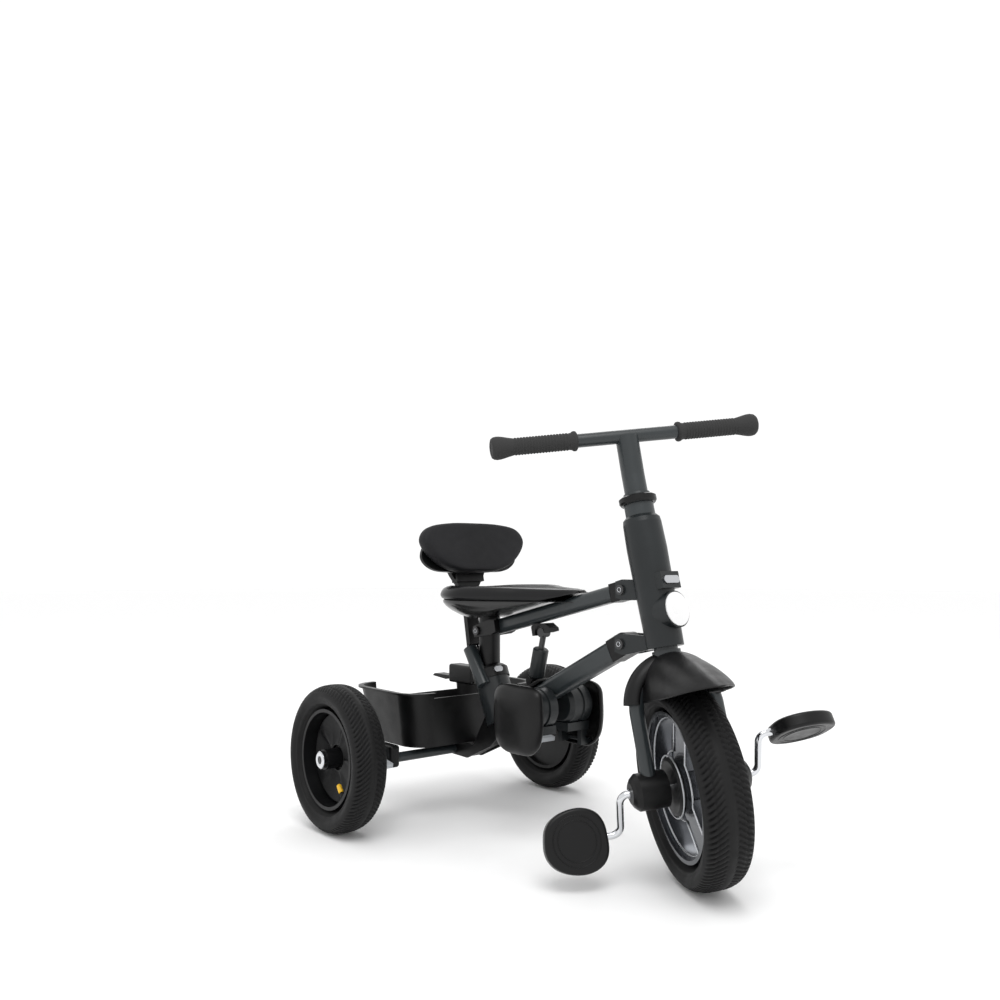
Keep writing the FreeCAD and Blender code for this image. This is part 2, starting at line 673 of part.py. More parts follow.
def post_line():
    """Foot and top of the backrest post's rear face: distance ahead of the rear axle and height."""
    return (64.0, 213.0), (27.0, 412.0)


FACE_UP = Rotation(Vector(0, 0, 1), Vector(0, 1, 0), Vector(1, 0, 0), "ZYX")


def backrest_place(local=Placement()):
    """Middle of the backrest pad, leaning back: x out of its face, z up it."""
    lean = Rotation(Vector(0, 1, 0), -float(s.backrest_lean))
    return at(s.backrest_ahead, 0, s.backrest_middle_height, lean).multiply(local)


def backrest_outline(scale):
    """Rounded outline of the backrest: wide, with the lower corners drawn in."""
    width = float(s.backrest_width) / 2 * scale
    height = float(s.backrest_height) / 2 * scale
    right = [(0.0, 1.0), (0.48, 0.97), (0.85, 0.80), (1.0, 0.38), (0.94, -0.10), (0.70, -0.66), (0.38, -0.95)]
    bottom = [(0.0, -1.0)]
    left = [(-across, up) for across, up in reversed(right[1:])]
    return [(up * height, across * width) for across, up in right + bottom + left]


# ---------------------------------------------------------------- seat

def seat_outline(scale, bottom=0.0):
    """Saddle outline seen from above: broad behind, drawn in to a rounded nose."""
    length = float(s.seat_length)
    half = float(s.seat_half_width)
    stations = [(0.02, 0.62), (0.10, 0.90), (0.28, 1.0), (0.48, 0.80), (0.68, 0.47), (0.88, 0.24), (0.985, 0.11)]
    middle = 0.42 * length
    side = [(middle + (along * length - middle) * scale, across * half * scale) for along, across in stations]
    rear = (middle - middle * scale, 0.0)
    nose = (middle + (length - middle) * scale, 0.0)
    other = [(along, -across) for along, across in reversed(side)]
    return [rear] + side + [nose] + other


def seat():
    """The moulded shell and the pad over it, with a channel that clears the upper bar."""
    place = at(s.seat_rear, 0, s.seat_top - s.seat_pad_thickness)
    pad = smooth_prism(seat_outline(1.0), float(s.seat_pad_thickness))
    pad = pad.makeFillet(6.0, [edge for edge in pad.Edges if edge.BoundBox.ZMin > 1.0])
    shell = smooth_prism(seat_outline(0.93), float(s.seat_shell_thickness))
    shell.translate(Vector(0, 0, -float(s.seat_shell_thickness)))
    channel = bar_channel()
    channel.Placement = place.inverse().multiply(channel.Placement)
    keep(shape_feature("SeatPad", pad.cut(channel)), "seat_pad", place)
    shell_feature = shape_feature("SeatShell", shell.cut(channel), place)
    drop = seat_base_gap()
    keel = slab("SeatKeel", [(-28, -17), (34, -17), (62, drop - 6), (62, drop), (-28, drop)], 26)
    keel_place = at(s.seat_post_ahead, 0, s.seat_post_top)
    post_room = cylinder("KeelPostRoom", s.seat_post_radius, 17, at(s.seat_post_ahead, 0, s.seat_post_top - 17))
    keel.Placement = keel_place
    channel_tool = shape_feature("KeelBarRoom", bar_channel(), bar_channel().Placement)
    tools = fuse("KeelTools", [post_room, channel_tool])
    keep(fuse("SeatShellKeel", [shell_feature, cut("SeatKeelCut", keel, tools)]), "seat_shell")


def seat_base_gap():
    """Height from the top of the seat post to the underside of the seat shell."""
    return s.seat_top - s.seat_pad_thickness - s.seat_shell_thickness - s.seat_post_top


def bar_channel():
    """Room for the upper bar and its rear fork, with 2 mm above and beside it and the way down open."""
    room = 2.0
    way_down = 60.0
    rear = rear_upper_pivot()
    angle = bar_angle(rear, front_upper_pivot())
    width = float(s.bar_width) + 2 * (room + float(s.ear_thickness) + float(s.side_gap) + 2)
    depth = float(s.upper_bar_depth) + 2 * room
    slot = Part.makeBox(300, width, depth + way_down, Vector(10, -width / 2, -depth / 2 - way_down))
    slot.Placement = at(rear[0], 0, rear[1], Rotation(Vector(0, 1, 0), -angle)).multiply(
        slot.Placement)
    return slot


# ---------------------------------------------------------------- folding bars

def bar_angle(rear, front):
    """Rise of a bar from its rear to its front pivot, degrees."""
    return math.degrees(math.atan2(front[1] - rear[1], front[0] - rear[0]))


def bar_length(rear, front):
    """Distance between a bar's two pivots."""
    return math.hypot(front[0] - rear[0], front[1] - rear[1])


def bar_frame(rear, front, local=Placement()):
    """Place a piece on a bar: x from the rear pivot to the front pivot."""
    lean = Rotation(Vector(0, 1, 0), -bar_angle(rear, front))
    return at(rear[0], 0, rear[1], lean).multiply(local)


def frame_bar(name, start, end, depth):
    """A straight bar of rounded box section from start to end along x."""
    bar = doc.addObject("Part::Box", name)
    bar.Length = end - start
    bind(bar, Width=s.bar_width, Height=depth)
    bar.Placement = shift(start, -s.bar_width / 2, -depth / 2)
    return rounded(name + "Rounded", bar, s.bar_corner, (9, 10, 11, 12))


def pivot_end(name, reach, depth, hole, toward):
    """A bar's black end cap: a block with a rounded pivot eye.  toward is +1 at the front end."""
    eye = cylinder(name + "Eye", depth / 2, s.bar_width - 1, shift(0, -float(s.bar_width) / 2 + 0.5, 0, ALONG_LEFT))
    body = block(name + "Body", reach, s.bar_width - 1, depth,
                 shift(-toward * reach / 2, 0, -float(depth) / 2))
    bore = cylinder(name + "Bore", hole, s.bar_width * 2, shift(0, -float(s.bar_width), 0, ALONG_LEFT))
    return cut(name, fuse(name + "Solid", [eye, body]), bore)


def pivot_bolt(name, place, half_width):
    """A pivot bolt across the frame, with a head on each side."""
    shank = cylinder(name + "Shank", s.pivot_radius, half_width * 2,
                     place.multiply(shift(0, -half_width, 0, ALONG_LEFT)))
    head = cylinder(name + "Head", s.bolt_head_radius, s.bolt_head_thickness,
                    place.multiply(shift(0, -half_width - float(s.bolt_head_thickness), 0, ALONG_LEFT)))
    nut = cylinder(name + "Nut", s.bolt_head_radius, s.bolt_head_thickness,
                   place.multiply(shift(0, half_width, 0, ALONG_LEFT)))
    return fuse(name, [shank, head, nut])


def upper_bar():
    """Upper frame bar: rear fork ears round the seat post, tube, front end cap and strut hook."""
    rear, front = rear_upper_pivot(), front_upper_pivot()
    length = bar_length(rear, front)
    bar = frame_bar("UpperBar", 32.0, length - 26.0, s.upper_bar_depth)
    keep(bar, "upper_bar", bar_frame(rear, front))
    cap = pivot_end("UpperBarCap", 26.0, s.upper_bar_depth + 3, s.pivot_radius + s.open_pivot_gap, LEFT)
    keep(cap, "upper_bar_cap", bar_frame(rear, front, shift(length)))
    ears = []
    inner = float(s.seat_post_radius) + float(s.side_gap)
    for side, side_name in SIDES:
        ear = slab("RearEar", [(-9, -9), (34, -12), (46, -9), (46, 9), (34, 12), (-9, 9)], s.ear_thickness)
        ear.Placement = bar_frame(rear, front, shift(0, (inner + float(s.ear_thickness) / 2) * side, 0))
        hole = cylinder("RearEarHole", s.pivot_radius + s.running_gap, 80,
                        bar_frame(rear, front, shift(0, -40, 0, ALONG_LEFT)))
        ears.append(cut("RearEarCut", ear, hole))
    yoke = block("RearYoke", 12, 2 * inner, s.upper_bar_depth,
                 bar_frame(rear, front, shift(40, 0, -float(s.upper_bar_depth) / 2)))
    trimmed = cut("RearYokeCut", yoke, shape_feature("YokeBarRoom", Part.makeBox(
        40, float(s.bar_width), float(s.upper_bar_depth),
        Vector(32, -float(s.bar_width) / 2, -float(s.upper_bar_depth) / 2)), bar_frame(rear, front)))
    keep(group("RearFork", ears + [trimmed]), "upper_bar_rear_fork")
    top_x, top_z = strut_top_local()
    hook = slab("StrutHook", [(-17, 0), (24, 0), (24, 5), (14, 14), (-10, 17.5), (-17, 14)], 18)
    hook_hole = cylinder("HookHole", s.strut_rod_radius + 6, 60, shift(0, -30, 2, ALONG_LEFT))
    drilled = cut("StrutHookCut", hook, hook_hole)
    keep(drilled, "strut_hook", bar_frame(rear, front, shift(top_x, 0, -float(s.upper_bar_depth) / 2 - 17.5)))


def strut_top_local():
    """Where the strut hangs from the upper bar, along the bar and below it."""
    return 133.0, -26.0


def lower_bar():
    """Lower frame bar with its front and rear end caps."""
    rear, front = rear_lower_pivot(), front_lower_pivot()
    length = bar_length(rear, front)
    bar = frame_bar("LowerBar", 20.0, length - 28.0, s.lower_bar_depth)
    keep(bar, "lower_bar", bar_frame(rear, front))
    bore = s.pivot_radius + s.running_gap
    front_cap = pivot_end("LowerBarCap", 28.0, s.lower_bar_depth, bore, LEFT)
    front_cap.Placement = bar_frame(rear, front, shift(length))
    rear_cap = pivot_end("LowerBarRear", 20.0, s.lower_bar_rear_depth, bore, RIGHT)
    rear_cap.Placement = bar_frame(rear, front)
    keep(group("LowerBarEnds", [front_cap, rear_cap]), "lower_bar_ends")


def strut():
    """Telescopic lock strut between the bars: foot lug, hinged sleeve and sliding rod."""
    foot_x, foot_z = strut_foot()
    lean = strut_lean()
    place = at(foot_x, 0, foot_z, Rotation(Vector(0, 1, 0), lean))
    bore = s.strut_rod_radius + s.running_gap
    sleeve = turned("StrutSleeve", [
        (bore, 2), (s.strut_sleeve_radius - 5, 2), (s.strut_sleeve_radius, 7),
        (s.strut_sleeve_radius, s.strut_sleeve_length - 2),
        (s.strut_sleeve_radius - 2, s.strut_sleeve_length), (bore, s.strut_sleeve_length),
    ])
    keep(sleeve, "strut_sleeve", place)
    reach = strut_reach()
    inside = float(s.strut_sleeve_length) - float(s.strut_rod_overlap)
    rod = cylinder("StrutRod", s.strut_rod_radius, reach - inside, shift(0, 0, inside))
    eye = cylinder("StrutEye", s.strut_rod_radius + 2.5, 14, shift(0, -7, reach, ALONG_LEFT))
    keep(fuse("StrutRodEye", [rod, eye]), "strut_rod", place)
    ear_outer = s.strut_sleeve_radius + 2.4
    lug = block("StrutLug", 44, ear_outer * 2, 5, shift(0, 0, 0))
    ears = [cylinder("StrutEar", 6, 2.0, shift(0, float(ear_outer) * side - 1 - side, 10, ALONG_LEFT))
            for side, side_name in SIDES]
    pin = cylinder("StrutPin", 1.6, ear_outer * 2, shift(0, -float(ear_outer), 10, ALONG_LEFT))
    keep(fuse("StrutFoot", [rounded("StrutLugRounded", lug, 2.0), pin] + ears), "strut_foot",
         bar_frame(rear_lower_pivot(), front_lower_pivot(),
                   shift(float(s.strut_foot_along), 0, float(s.lower_bar_depth) / 2)))


def strut_foot():
    """Hinge point of the strut above the lower bar's top face."""
    rear, front = rear_lower_pivot(), front_lower_pivot()
    place = bar_frame(rear, front, shift(s.strut_foot_along, 0, float(s.lower_bar_depth) / 2 + 10))
    return place.Base.x + float(s.origin_ahead_of_rear_axle), place.Base.z


def strut_head():
    """Centre of the strut's eye inside the hook."""
    top_x, top_z = strut_top_local()
    place = bar_frame(rear_upper_pivot(), front_upper_pivot(), shift(top_x, 0, -float(s.upper_bar_depth) / 2 - 15.5))
    return place.Base.x + float(s.origin_ahead_of_rear_axle), place.Base.z


def strut_reach():
    """Distance from the strut's foot to its eye."""
    foot, head = strut_foot(), strut_head()
    return math.hypot(head[0] - foot[0], head[1] - foot[1])


def strut_lean():
    """Lean of the strut from upright, forward positive, degrees."""
    foot, head = strut_foot(), strut_head()
    return math.degrees(math.atan2(head[0] - foot[0], head[1] - foot[1]))


def pivot_bolts():
    """The bolts at the four corners of the folding linkage and at the seat post."""
    ear_outer = float(s.bar_width) / 2 + float(s.side_gap) + float(s.ear_thickness)
    rear_outer = float(s.seat_post_radius) + float(s.side_gap) + float(s.ear_thickness)
    rear = ((rear_upper_pivot(), rear_outer + 0.3), (rear_lower_pivot(), ear_outer))
    front = ((front_upper_pivot(), ear_outer), (front_lower_pivot(), ear_outer))
    for label, pair in (("rear_pivot_bolts", rear), ("front_pivot_bolts", front)):
        bolts = [pivot_bolt("PivotBolt", at(ahead, 0, height), half) for (ahead, height), half in pair]
        keep(group("PivotBolts", bolts), label)


# ---------------------------------------------------------------- footrests

def footrest_drums():
    """The drum on each side of the lower bar that carries a footrest."""
    bar_side = float(s.bar_width) / 2
    length = s.footrest_hub_reach - bar_side
    for side, side_name in SIDES:
        drum = turned("FootrestDrum", [
            (0, 0), (s.footrest_hub_radius - 6, 0), (s.footrest_hub_radius, 5),
            (s.footrest_hub_radius, length * 0.45), (s.footrest_hub_radius - 2, length * 0.47),
            (s.footrest_hub_radius - 2, length * 0.55), (s.footrest_hub_radius, length * 0.57),
            (s.footrest_hub_radius, length - 4), (s.footrest_hub_radius - 5, length), (0, length),
        ])
        drum.Placement = at(s.footrest_hub_ahead, bar_side * side, s.footrest_hub_height,
                            Rotation(Vector(1, 0, 0), -90 * side))
        foot = block("DrumArm", 52, length, 12, at(s.footrest_hub_ahead - 8, (bar_side + float(length) / 2) * side,
                                                   s.footrest_hub_height - s.footrest_hub_radius - 8))
        pieces = [drum, foot] + footrest_knuckles(side)
        keep(fuse("FootrestDrumArm", pieces), "footrest_drum_" + side_name)


def footrest_hinge():
    """The footrest's hinge pin: distance ahead, distance from the middle plane and height."""
    ahead = float(s.footrest_hub_ahead) - 10
    return ahead, footrest_face() + 4.0, footrest_middle_height() - float(s.footrest_height) / 2 + 6.5


def footrest_knuckles(side):
    """Two knuckles and the hinge pin that carry a footrest below its drum."""
    ahead, reach, height = footrest_hinge()
    pieces = [cylinder("FootrestPin", s.pivot_radius - 1, 52, at(ahead - 26, reach * side, height, ALONG_AHEAD))]
    top = float(s.footrest_hub_height) - float(s.footrest_hub_radius) - 8
    for end in (-1, 1):
        inner = float(s.footrest_hub_reach) - 14
        outer = reach + 4
        pieces.append(block("FootrestKnuckle", 8, outer - inner, 8,
                            at(ahead + 21 * end, (inner + outer) / 2 * side, height - 4)))
        pieces.append(block("FootrestHanger", 8, 12, top + 6 - height,
                            at(ahead + 21 * end, (inner + 6) * side, height - 2)))
    return pieces


def footrest_pad(side, side_name):
    """A folding footrest: a shield-shaped plate with a rim on its tread side."""
    half = float(s.footrest_length) / 2
    height = float(s.footrest_height)
    outline = [(0.0, -0.5), (-0.62, -0.47), (-0.93, -0.15), (-1.0, 0.2), (-0.72, 0.45), (0.0, 0.5),
               (0.72, 0.45), (1.0, 0.2), (0.93, -0.15), (0.62, -0.47)]
    points = [(along * half, up * height) for along, up in outline]
    depth = float(s.footrest_thickness)
    wall = float(s.footrest_wall)
    outer = smooth_prism(points, depth)
    inner = smooth_prism([(x * (1 - wall / half), y * (1 - 2 * wall / height)) for x, y in points], depth)
    inner.translate(Vector(0, 0, wall))
    tray = outer.cut(inner)
    base = -height / 2
    notch = Part.makeBox(54, 12, depth, Vector(-27, base - 6, wall))
    lug = Part.makeBox(32, 12, depth - wall, Vector(-16, base + 0.5, wall))
    pin_room = Part.makeCylinder(float(s.pivot_radius) - 1 + float(s.running_gap), 60,
                                 Vector(-30, base + 6.5, depth - 4.0), Vector(1, 0, 0))
    face = footrest_face()
    stand = Rotation(Vector(1, 0, 0), 90) if side == LEFT else Rotation(Vector(1, 0, 0), 90).multiply(
        Rotation(Vector(0, 1, 0), 180))
    place = at(s.footrest_hub_ahead - 10, (face + depth) * side, footrest_middle_height(), stand)
    tray = tray.cut(notch).fuse(lug).cut(pin_room)
    keep(shape_feature("FootrestPad", tray.removeSplitter()), "footrest_" + side_name, place)


def footrest_face():
    """Tread side of a folded footrest, from the middle plane."""
    return float(s.footrest_hub_reach) + 0.6


def footrest_middle_height():
    """Middle of a folded footrest above the floor."""
    return float(s.footrest_hub_height) - 14.0


# ---------------------------------------------------------------- basket

def basket():
    """The open tub over the rear beam, with a notch round the column."""
    height = float(s.basket_top - s.basket_floor)
    wall = float(s.basket_wall)
    outer = tub(float(s.basket_length), float(s.basket_width), height, float(s.basket_corner))
    inner = tub(float(s.basket_length) - 2 * wall, float(s.basket_width) - 2 * wall, height,
                float(s.basket_corner) - wall)
    inner.translate(Vector(0, 0, wall))
    flange = lip(wall, height)
    body = outer.fuse(flange).cut(inner)
    length = float(s.basket_length)
    opening = float(s.basket_width) * 0.66
    rear_dip = Part.makeBox(length * 0.4, opening, height, Vector(-length * 0.8, -opening / 2,
                                                                  height - float(s.basket_rear_dip)))
    front_dip = Part.makeBox(length * 0.4, opening, height, Vector(length * 0.4, -opening / 2,
                                                                   height - float(s.basket_front_dip)))
    body = body.cut(rear_dip).cut(front_dip)
    place = at(s.basket_front - s.basket_length / 2, 0, s.basket_floor)
    keep(shape_feature("Basket", body.removeSplitter()), "basket", place)


def tub(length, width, height, corner):
    """A tapered block with rounded upright corners, narrower at the floor."""
    taper = 0.86
    lower = corner_box_wire(length * taper, width * taper, corner, 0.0)
    upper = corner_box_wire(length, width, corner, height)
    return Part.makeLoft([lower, upper], True, True)


def corner_box_wire(length, width, corner, height):
    """A rectangle with round corners at the given height."""
    half_x, half_y = length / 2, width / 2
    flat = Part.makeBox(length, width, 10, Vector(-half_x, -half_y, 0))
    upright = [edge for edge in flat.Edges if abs(edge.BoundBox.ZLength - 10) < 0.1 and edge.BoundBox.XLength < 0.1]
    solid = flat.makeFillet(corner, upright)
    face = [item for item in solid.Faces if item.CenterOfMass.z < 0.01][0]
    wire = face.OuterWire.copy()
    wire.translate(Vector(0, 0, height))
    return wire


def lip(wall, height):
    """The flat rim round the mouth of the basket."""
    reach = 5.0
    ring = Part.Face(corner_box_wire(float(s.basket_length) + 2 * reach, float(s.basket_width) + 2 * reach,
                                     float(s.basket_corner) + reach, height - wall))
    return ring.extrude(Vector(0, 0, wall))


def handle_lock():
    """The push handle's lock block behind the column and its leaf lever."""
    housing = rounded("LockBlockRounded", block("LockBlock", s.lock_block_length, 26, 30), 4.0)
    housing.Placement = at(s.lock_block_length / 2 + 3.6, 0, 208)
    post = [feature for feature in NODES if feature.Label == "backrest_post"][0]
    keep(cut("LockBlockCut", housing, post), "handle_lock_block")
    leaf = slab("LockLeaf", [(-46, 0), (-40, 4), (0, 4), (0, 0), (-8, -3)], 20)
    eye = cylinder("LockLeafEye", 2.4, 20, shift(0, -10, 2, ALONG_LEFT))
    keep(fuse("LockLever", [leaf, eye]), "handle_lock_lever", at(0.6, 0, 214))


# ---------------------------------------------------------------- steering head

def steering_head():
    """The head cover with its front boss and pivot brackets, the cap, badge and release switch."""
    bore = s.steerer_radius + s.running_gap
    cover = turned("HeadCover", [
        (bore, s.head_bottom), (s.head_bottom_radius, s.head_bottom), (s.head_seam_radius, s.head_seam),
        (bore, s.head_seam),
    ])
    cover.Placement = head_frame()
    boss = cylinder("HeadBoss", s.head_boss_radius, s.head_boss_reach,
                    head_frame(shift(0, 0, s.badge_height, ALONG_AHEAD)))
    brow = block("HeadBrow", s.head_boss_reach - 1, s.switch_length + 6, s.switch_width + 12,
                 head_frame(shift(float(s.head_boss_reach) / 2 - 0.5, 0, float(s.switch_height - s.switch_width) - 1)))
    room = cylinder("SteererRoom", bore, s.head_seam, head_frame())
    pocket = button_prism("SwitchPocket", s.switch_length + 0.6, s.switch_width + 0.6, 20)
    pocket.Placement = switch_place(float(s.head_boss_reach) - 7)
    brackets = []
    for (ahead, height) in (front_upper_pivot(), front_lower_pivot()):
        brackets.extend(head_ears(ahead, height))
    solid = fuse("HeadSolid", [cover, boss, brow] + brackets)
    holes = [room, pocket, cylinder("ForkSweepRoom", s.fork_sweep_radius, s.head_bottom, head_frame())]
    for (ahead, height) in (front_upper_pivot(), front_lower_pivot()):
        holes.append(cylinder("HeadEarHole", s.pivot_radius + s.running_gap, 80,
                              at(ahead, -40, height, ALONG_LEFT)))
        holes.append(block("HeadEarSlot", 60, s.bar_width + s.side_gap * 2, 40, at(ahead - 12, 0, height - 20)))
    keep(cut("HeadCoverCut", solid, fuse("HeadHoles", holes)), "head_cover")
    cap = turned("HeadCap", [
        (bore, s.head_seam), (s.head_seam_radius, s.head_seam), (s.head_seam_radius - 1, s.head_top - 10),
        (s.head_top_radius, s.head_top - 4), (s.head_top_radius - 4, s.head_top), (bore, s.head_top),
    ])
    keep(cap, "head_cap", head_frame())
    badge = cylinder("Badge", s.badge_radius, s.badge_thickness)
    keep(badge, "head_badge", head_frame(shift(s.head_boss_reach, 0, s.badge_height, ALONG_AHEAD)))
    switch = button_prism("ReleaseSwitch", s.switch_length, s.switch_width, 5)
    keep(switch, "release_switch", switch_place(float(s.head_boss_reach) - 3.5))


def switch_place(depth):
    """The release switch's place on the brow of the head cover."""
    return head_frame(shift(depth, 0, s.switch_height, ALONG_AHEAD))


def head_ears(ahead, height):
    """The pair of ears that hold a bar's front end, reaching back from the head."""
    ears = []
    inner = float(s.bar_width) / 2 + float(s.side_gap)
    for side, side_name in SIDES:
        ear = slab("HeadEar", [(-10, -11), (2, -14), (66, -12), (58, 14), (2, 14), (-10, 11)], s.ear_thickness)
        ear.Placement = at(ahead, (inner + float(s.ear_thickness) / 2) * side, height)
        ears.append(ear)
    return ears


# ---------------------------------------------------------------- steering column and handlebar

def stem():
    """Steerer tube, neck sleeve, locking ring and stem up to the handlebar."""
    top = s.handlebar_height - s.handlebar_radius - 4
    steerer = cylinder("Steerer", s.steerer_radius, s.head_top + 16 - s.head_bottom + 4)
    steerer.Placement = shift(0, 0, s.head_bottom - 4)
    neck = turned("Neck", [
        (0, s.head_top + 16), (s.steerer_radius, s.head_top + 16), (s.steerer_radius, s.head_top + 0.4),
        (s.neck_radius, s.head_top + 0.4), (s.neck_radius, s.lock_ring_bottom),
        (s.neck_radius - 2, s.lock_ring_top + 4), (0, s.lock_ring_top + 4),
    ])
    keep(fuse("SteererNeck", [steerer, neck]), "steerer_tube", steering())
    ring = turned("LockRing", [
        (s.neck_radius + 0.02, s.lock_ring_bottom), (s.lock_ring_radius - 2, s.lock_ring_bottom),
        (s.lock_ring_radius, s.lock_ring_bottom + 3), (s.lock_ring_radius, s.lock_ring_top - 2),
        (s.lock_ring_radius - 3, s.lock_ring_top), (s.neck_radius + 0.02, s.lock_ring_top),
    ])
    keep(ring, "lock_ring", steering())
    low = Vector(0, 0, float(s.lock_ring_top) + 4)
    bend = Vector(0, 0, float(s.lock_ring_top) + 30)
    high = Vector(float(s.handlebar_offset) * 0.95, 0, float(s.handlebar_height))
    tube = rod_along([low, bend, high], float(s.steerer_radius), 60.0)
    room = Part.makeCylinder(float(s.handlebar_radius), 80,
                             Vector(float(s.handlebar_offset), -40, float(s.handlebar_height)), Vector(0, 1, 0))
    over = Part.makeBox(60, 60, 40, Vector(-25, -30, float(s.handlebar_height) + 2))
    keep(shape_feature("Stem", tube.cut(room).cut(over)), "stem_tube", steering())


def handlebar():
    """The straight bar with a grip on each end: inner flange, sleeve and end bulb."""
    place = steering(shift(s.handlebar_offset, 0, s.handlebar_height, ALONG_LEFT))
    half = s.handlebar_span / 2
    bar = cylinder("Handlebar", s.handlebar_radius, half * 2)
    keep(bar, "handlebar", place.multiply(shift(0, 0, -half)))
    for side, side_name in SIDES:
        inner = half - s.grip_length
        bore = s.handlebar_radius
        grip = turned("Grip", [
            (bore, inner), (s.grip_flange_radius, inner), (s.grip_flange_radius, inner + 6),
            (s.grip_radius, inner + 9), (s.grip_radius, half - 14), (s.grip_bulb_radius - 2, half - 8),
            (s.grip_bulb_radius, half), (s.grip_bulb_radius - 2, half + 8), (s.grip_bulb_radius - 7, half + 14),
            (0, half + s.grip_bulb_radius), (0, half), (bore, half),
        ])
        outward = Rotation() if side == LEFT else Rotation(Vector(1, 0, 0), 180)
        keep(grip, "grip_" + side_name, place.multiply(shift(rotation=outward)))


# ---------------------------------------------------------------- fork, fender and hub covers

def fork():
    """Inverted-U fork tube, split into a crown and two legs, with hub covers at the feet."""
    half = float(s.fork_half_gap)
    bend = float(s.fork_bend)
    top = float(s.fork_top)
    radius = float(s.fork_leg_radius)
    crown_foot = top - bend - 4
    crown = rod_along([Vector(0, -half, crown_foot), Vector(0, -half, top), Vector(0, half, top),
                       Vector(0, half, crown_foot)], radius, bend)
    boss = Part.makeCylinder(float(s.steerer_radius) + 3, float(s.head_bottom) - 4 - top + 4, Vector(0, 0, top - 4))
    keep(shape_feature("ForkCrown", crown.fuse(boss).removeSplitter()), "fork_crown", steering())
    cover_radius = float(s.hub_cover_radius)
    offset = float(s.front_axle_offset)
    legs = []
    covers = []
    for side, side_name in SIDES:
        leg = cylinder("ForkLeg", s.fork_leg_radius, crown_foot + 4,
                       shift(0, half * side, -4))
        cover_room = cylinder("LegCoverRoom", s.hub_cover_radius, 100,
                              shift(offset, -50 + half * side, 0, ALONG_LEFT))
        legs.append(cut("ForkLegCut", leg, cover_room))
        bore = s.front_axle_radius + s.running_gap
        cover = turned("HubCover", [
            (bore, s.hub_cover_inner), (s.hub_cover_radius, s.hub_cover_inner),
            (s.hub_cover_radius, s.hub_cover_outer - 9), (s.hub_cover_radius - 5, s.hub_cover_outer - 3),
            (s.hub_cover_radius - 10, s.hub_cover_outer), (bore, s.hub_cover_outer),
        ])
        outward = Rotation() if side == LEFT else Rotation(Vector(1, 0, 0), 180)
        cover.Placement = wheel_frame(shift(rotation=outward))
        covers.append(cover)
    keep(group("ForkLegs", legs), "fork_legs", steering())
    keep(group("HubCovers", covers), "hub_covers")


def fender():
    """The hooded fender: a thin domed shell over the tyre, with wings that cover the fork crown."""
    wall = float(s.fender_wall)
    shell = fender_block(0.0).cut(fender_block(wall))
    steerer_room = Part.makeCylinder(float(s.steerer_radius) + 3, 60, Vector(0, 0, float(s.fork_top) - 4))
    inner_room = fender_block(wall).fuse(fender_wing(wall))
    tyre_room_half = float(s.front_tyre_width) / 2 + 2
    tyre_room = Part.makeCylinder(float(s.front_tyre_radius) + 2.5, 2 * tyre_room_half,
                                  Vector(float(s.front_axle_offset), -tyre_room_half, 0), Vector(0, 1, 0))
    body = shell.fuse(fender_wing(0.0)).cut(inner_room).cut(steerer_room).cut(tyre_room)
    keep(shape_feature("Fender", body.removeSplitter()), "fender", steering())


def arch_cylinder(half_width, crown):
    """A cylinder along x whose top is at the crown height."""
    return Part.makeCylinder(half_width, 600, Vector(-300, 0, crown - half_width), Vector(1, 0, 0))


def fender_wing(inset):
    """The arched wing over the fork crown as a solid, drawn in by an inset all round."""
    half = float(s.fender_wing_half_width) - inset
    crown = float(s.fender_crown) + 1 - inset
    foot = crown - half + 8 - 4 * inset
    reach = float(s.fork_leg_radius) + 4.4 - inset
    slab_room = Part.makeBox(2 * reach, 2 * half, crown - foot + 5, Vector(-reach, -half, foot))
    return arch_cylinder(half, crown).common(slab_room)


def fender_block(inset):
    """The fender's outer hood as a solid, drawn in by an inset all round."""
    half = float(s.fender_half_width) - inset
    crown = float(s.fender_crown) - inset
    nose = float(s.fender_nose_reach) - inset
    tail = -float(s.fender_tail_reach) + inset
    low = float(s.fender_nose_height) - (8 if inset else 0)
    arch = Part.Arc(Vector(tail, 0, low - 12), Vector(4, 0, crown), Vector(nose, 0, low + 6)).toShape()
    floor = [Part.LineSegment(Vector(nose, 0, low + 6), Vector(nose - 6, 0, low)).toShape(),
             Part.LineSegment(Vector(nose - 6, 0, low), Vector(10, 0, low)).toShape(),
             Part.LineSegment(Vector(10, 0, low), Vector(tail, 0, low - 12)).toShape()]
    side = Part.Face(Part.Wire([arch] + floor)).extrude(Vector(0, 2 * half, 0))
    side.translate(Vector(0, -half, 0))
    plan = smooth_plan(tail, nose, half)
    return side.common(plan).common(arch_cylinder(float(s.fender_dome_radius) - inset, crown))


def smooth_plan(tail, nose, half):
    """Outline of the fender from above: straight sides and a long rounded nose."""
    start = Vector(20, -half, 0)
    tip = Vector(nose, 0, 0)
    end = Vector(20, half, 0)
    curve = Part.BSplineCurve()
    curve.interpolate([start, Vector(20 + (nose - 20) * 0.72, -half * 0.66, 0), tip,
                       Vector(20 + (nose - 20) * 0.72, half * 0.66, 0), end])
    edges = [curve.toShape(), Part.LineSegment(end, Vector(tail, half, 0)).toShape(),
             Part.LineSegment(Vector(tail, half, 0), Vector(tail, -half, 0)).toShape(),
             Part.LineSegment(Vector(tail, -half, 0), start).toShape()]
    return Part.Face(Part.Wire(edges)).extrude(Vector(0, 0, 300))


# ---------------------------------------------------------------- front wheel

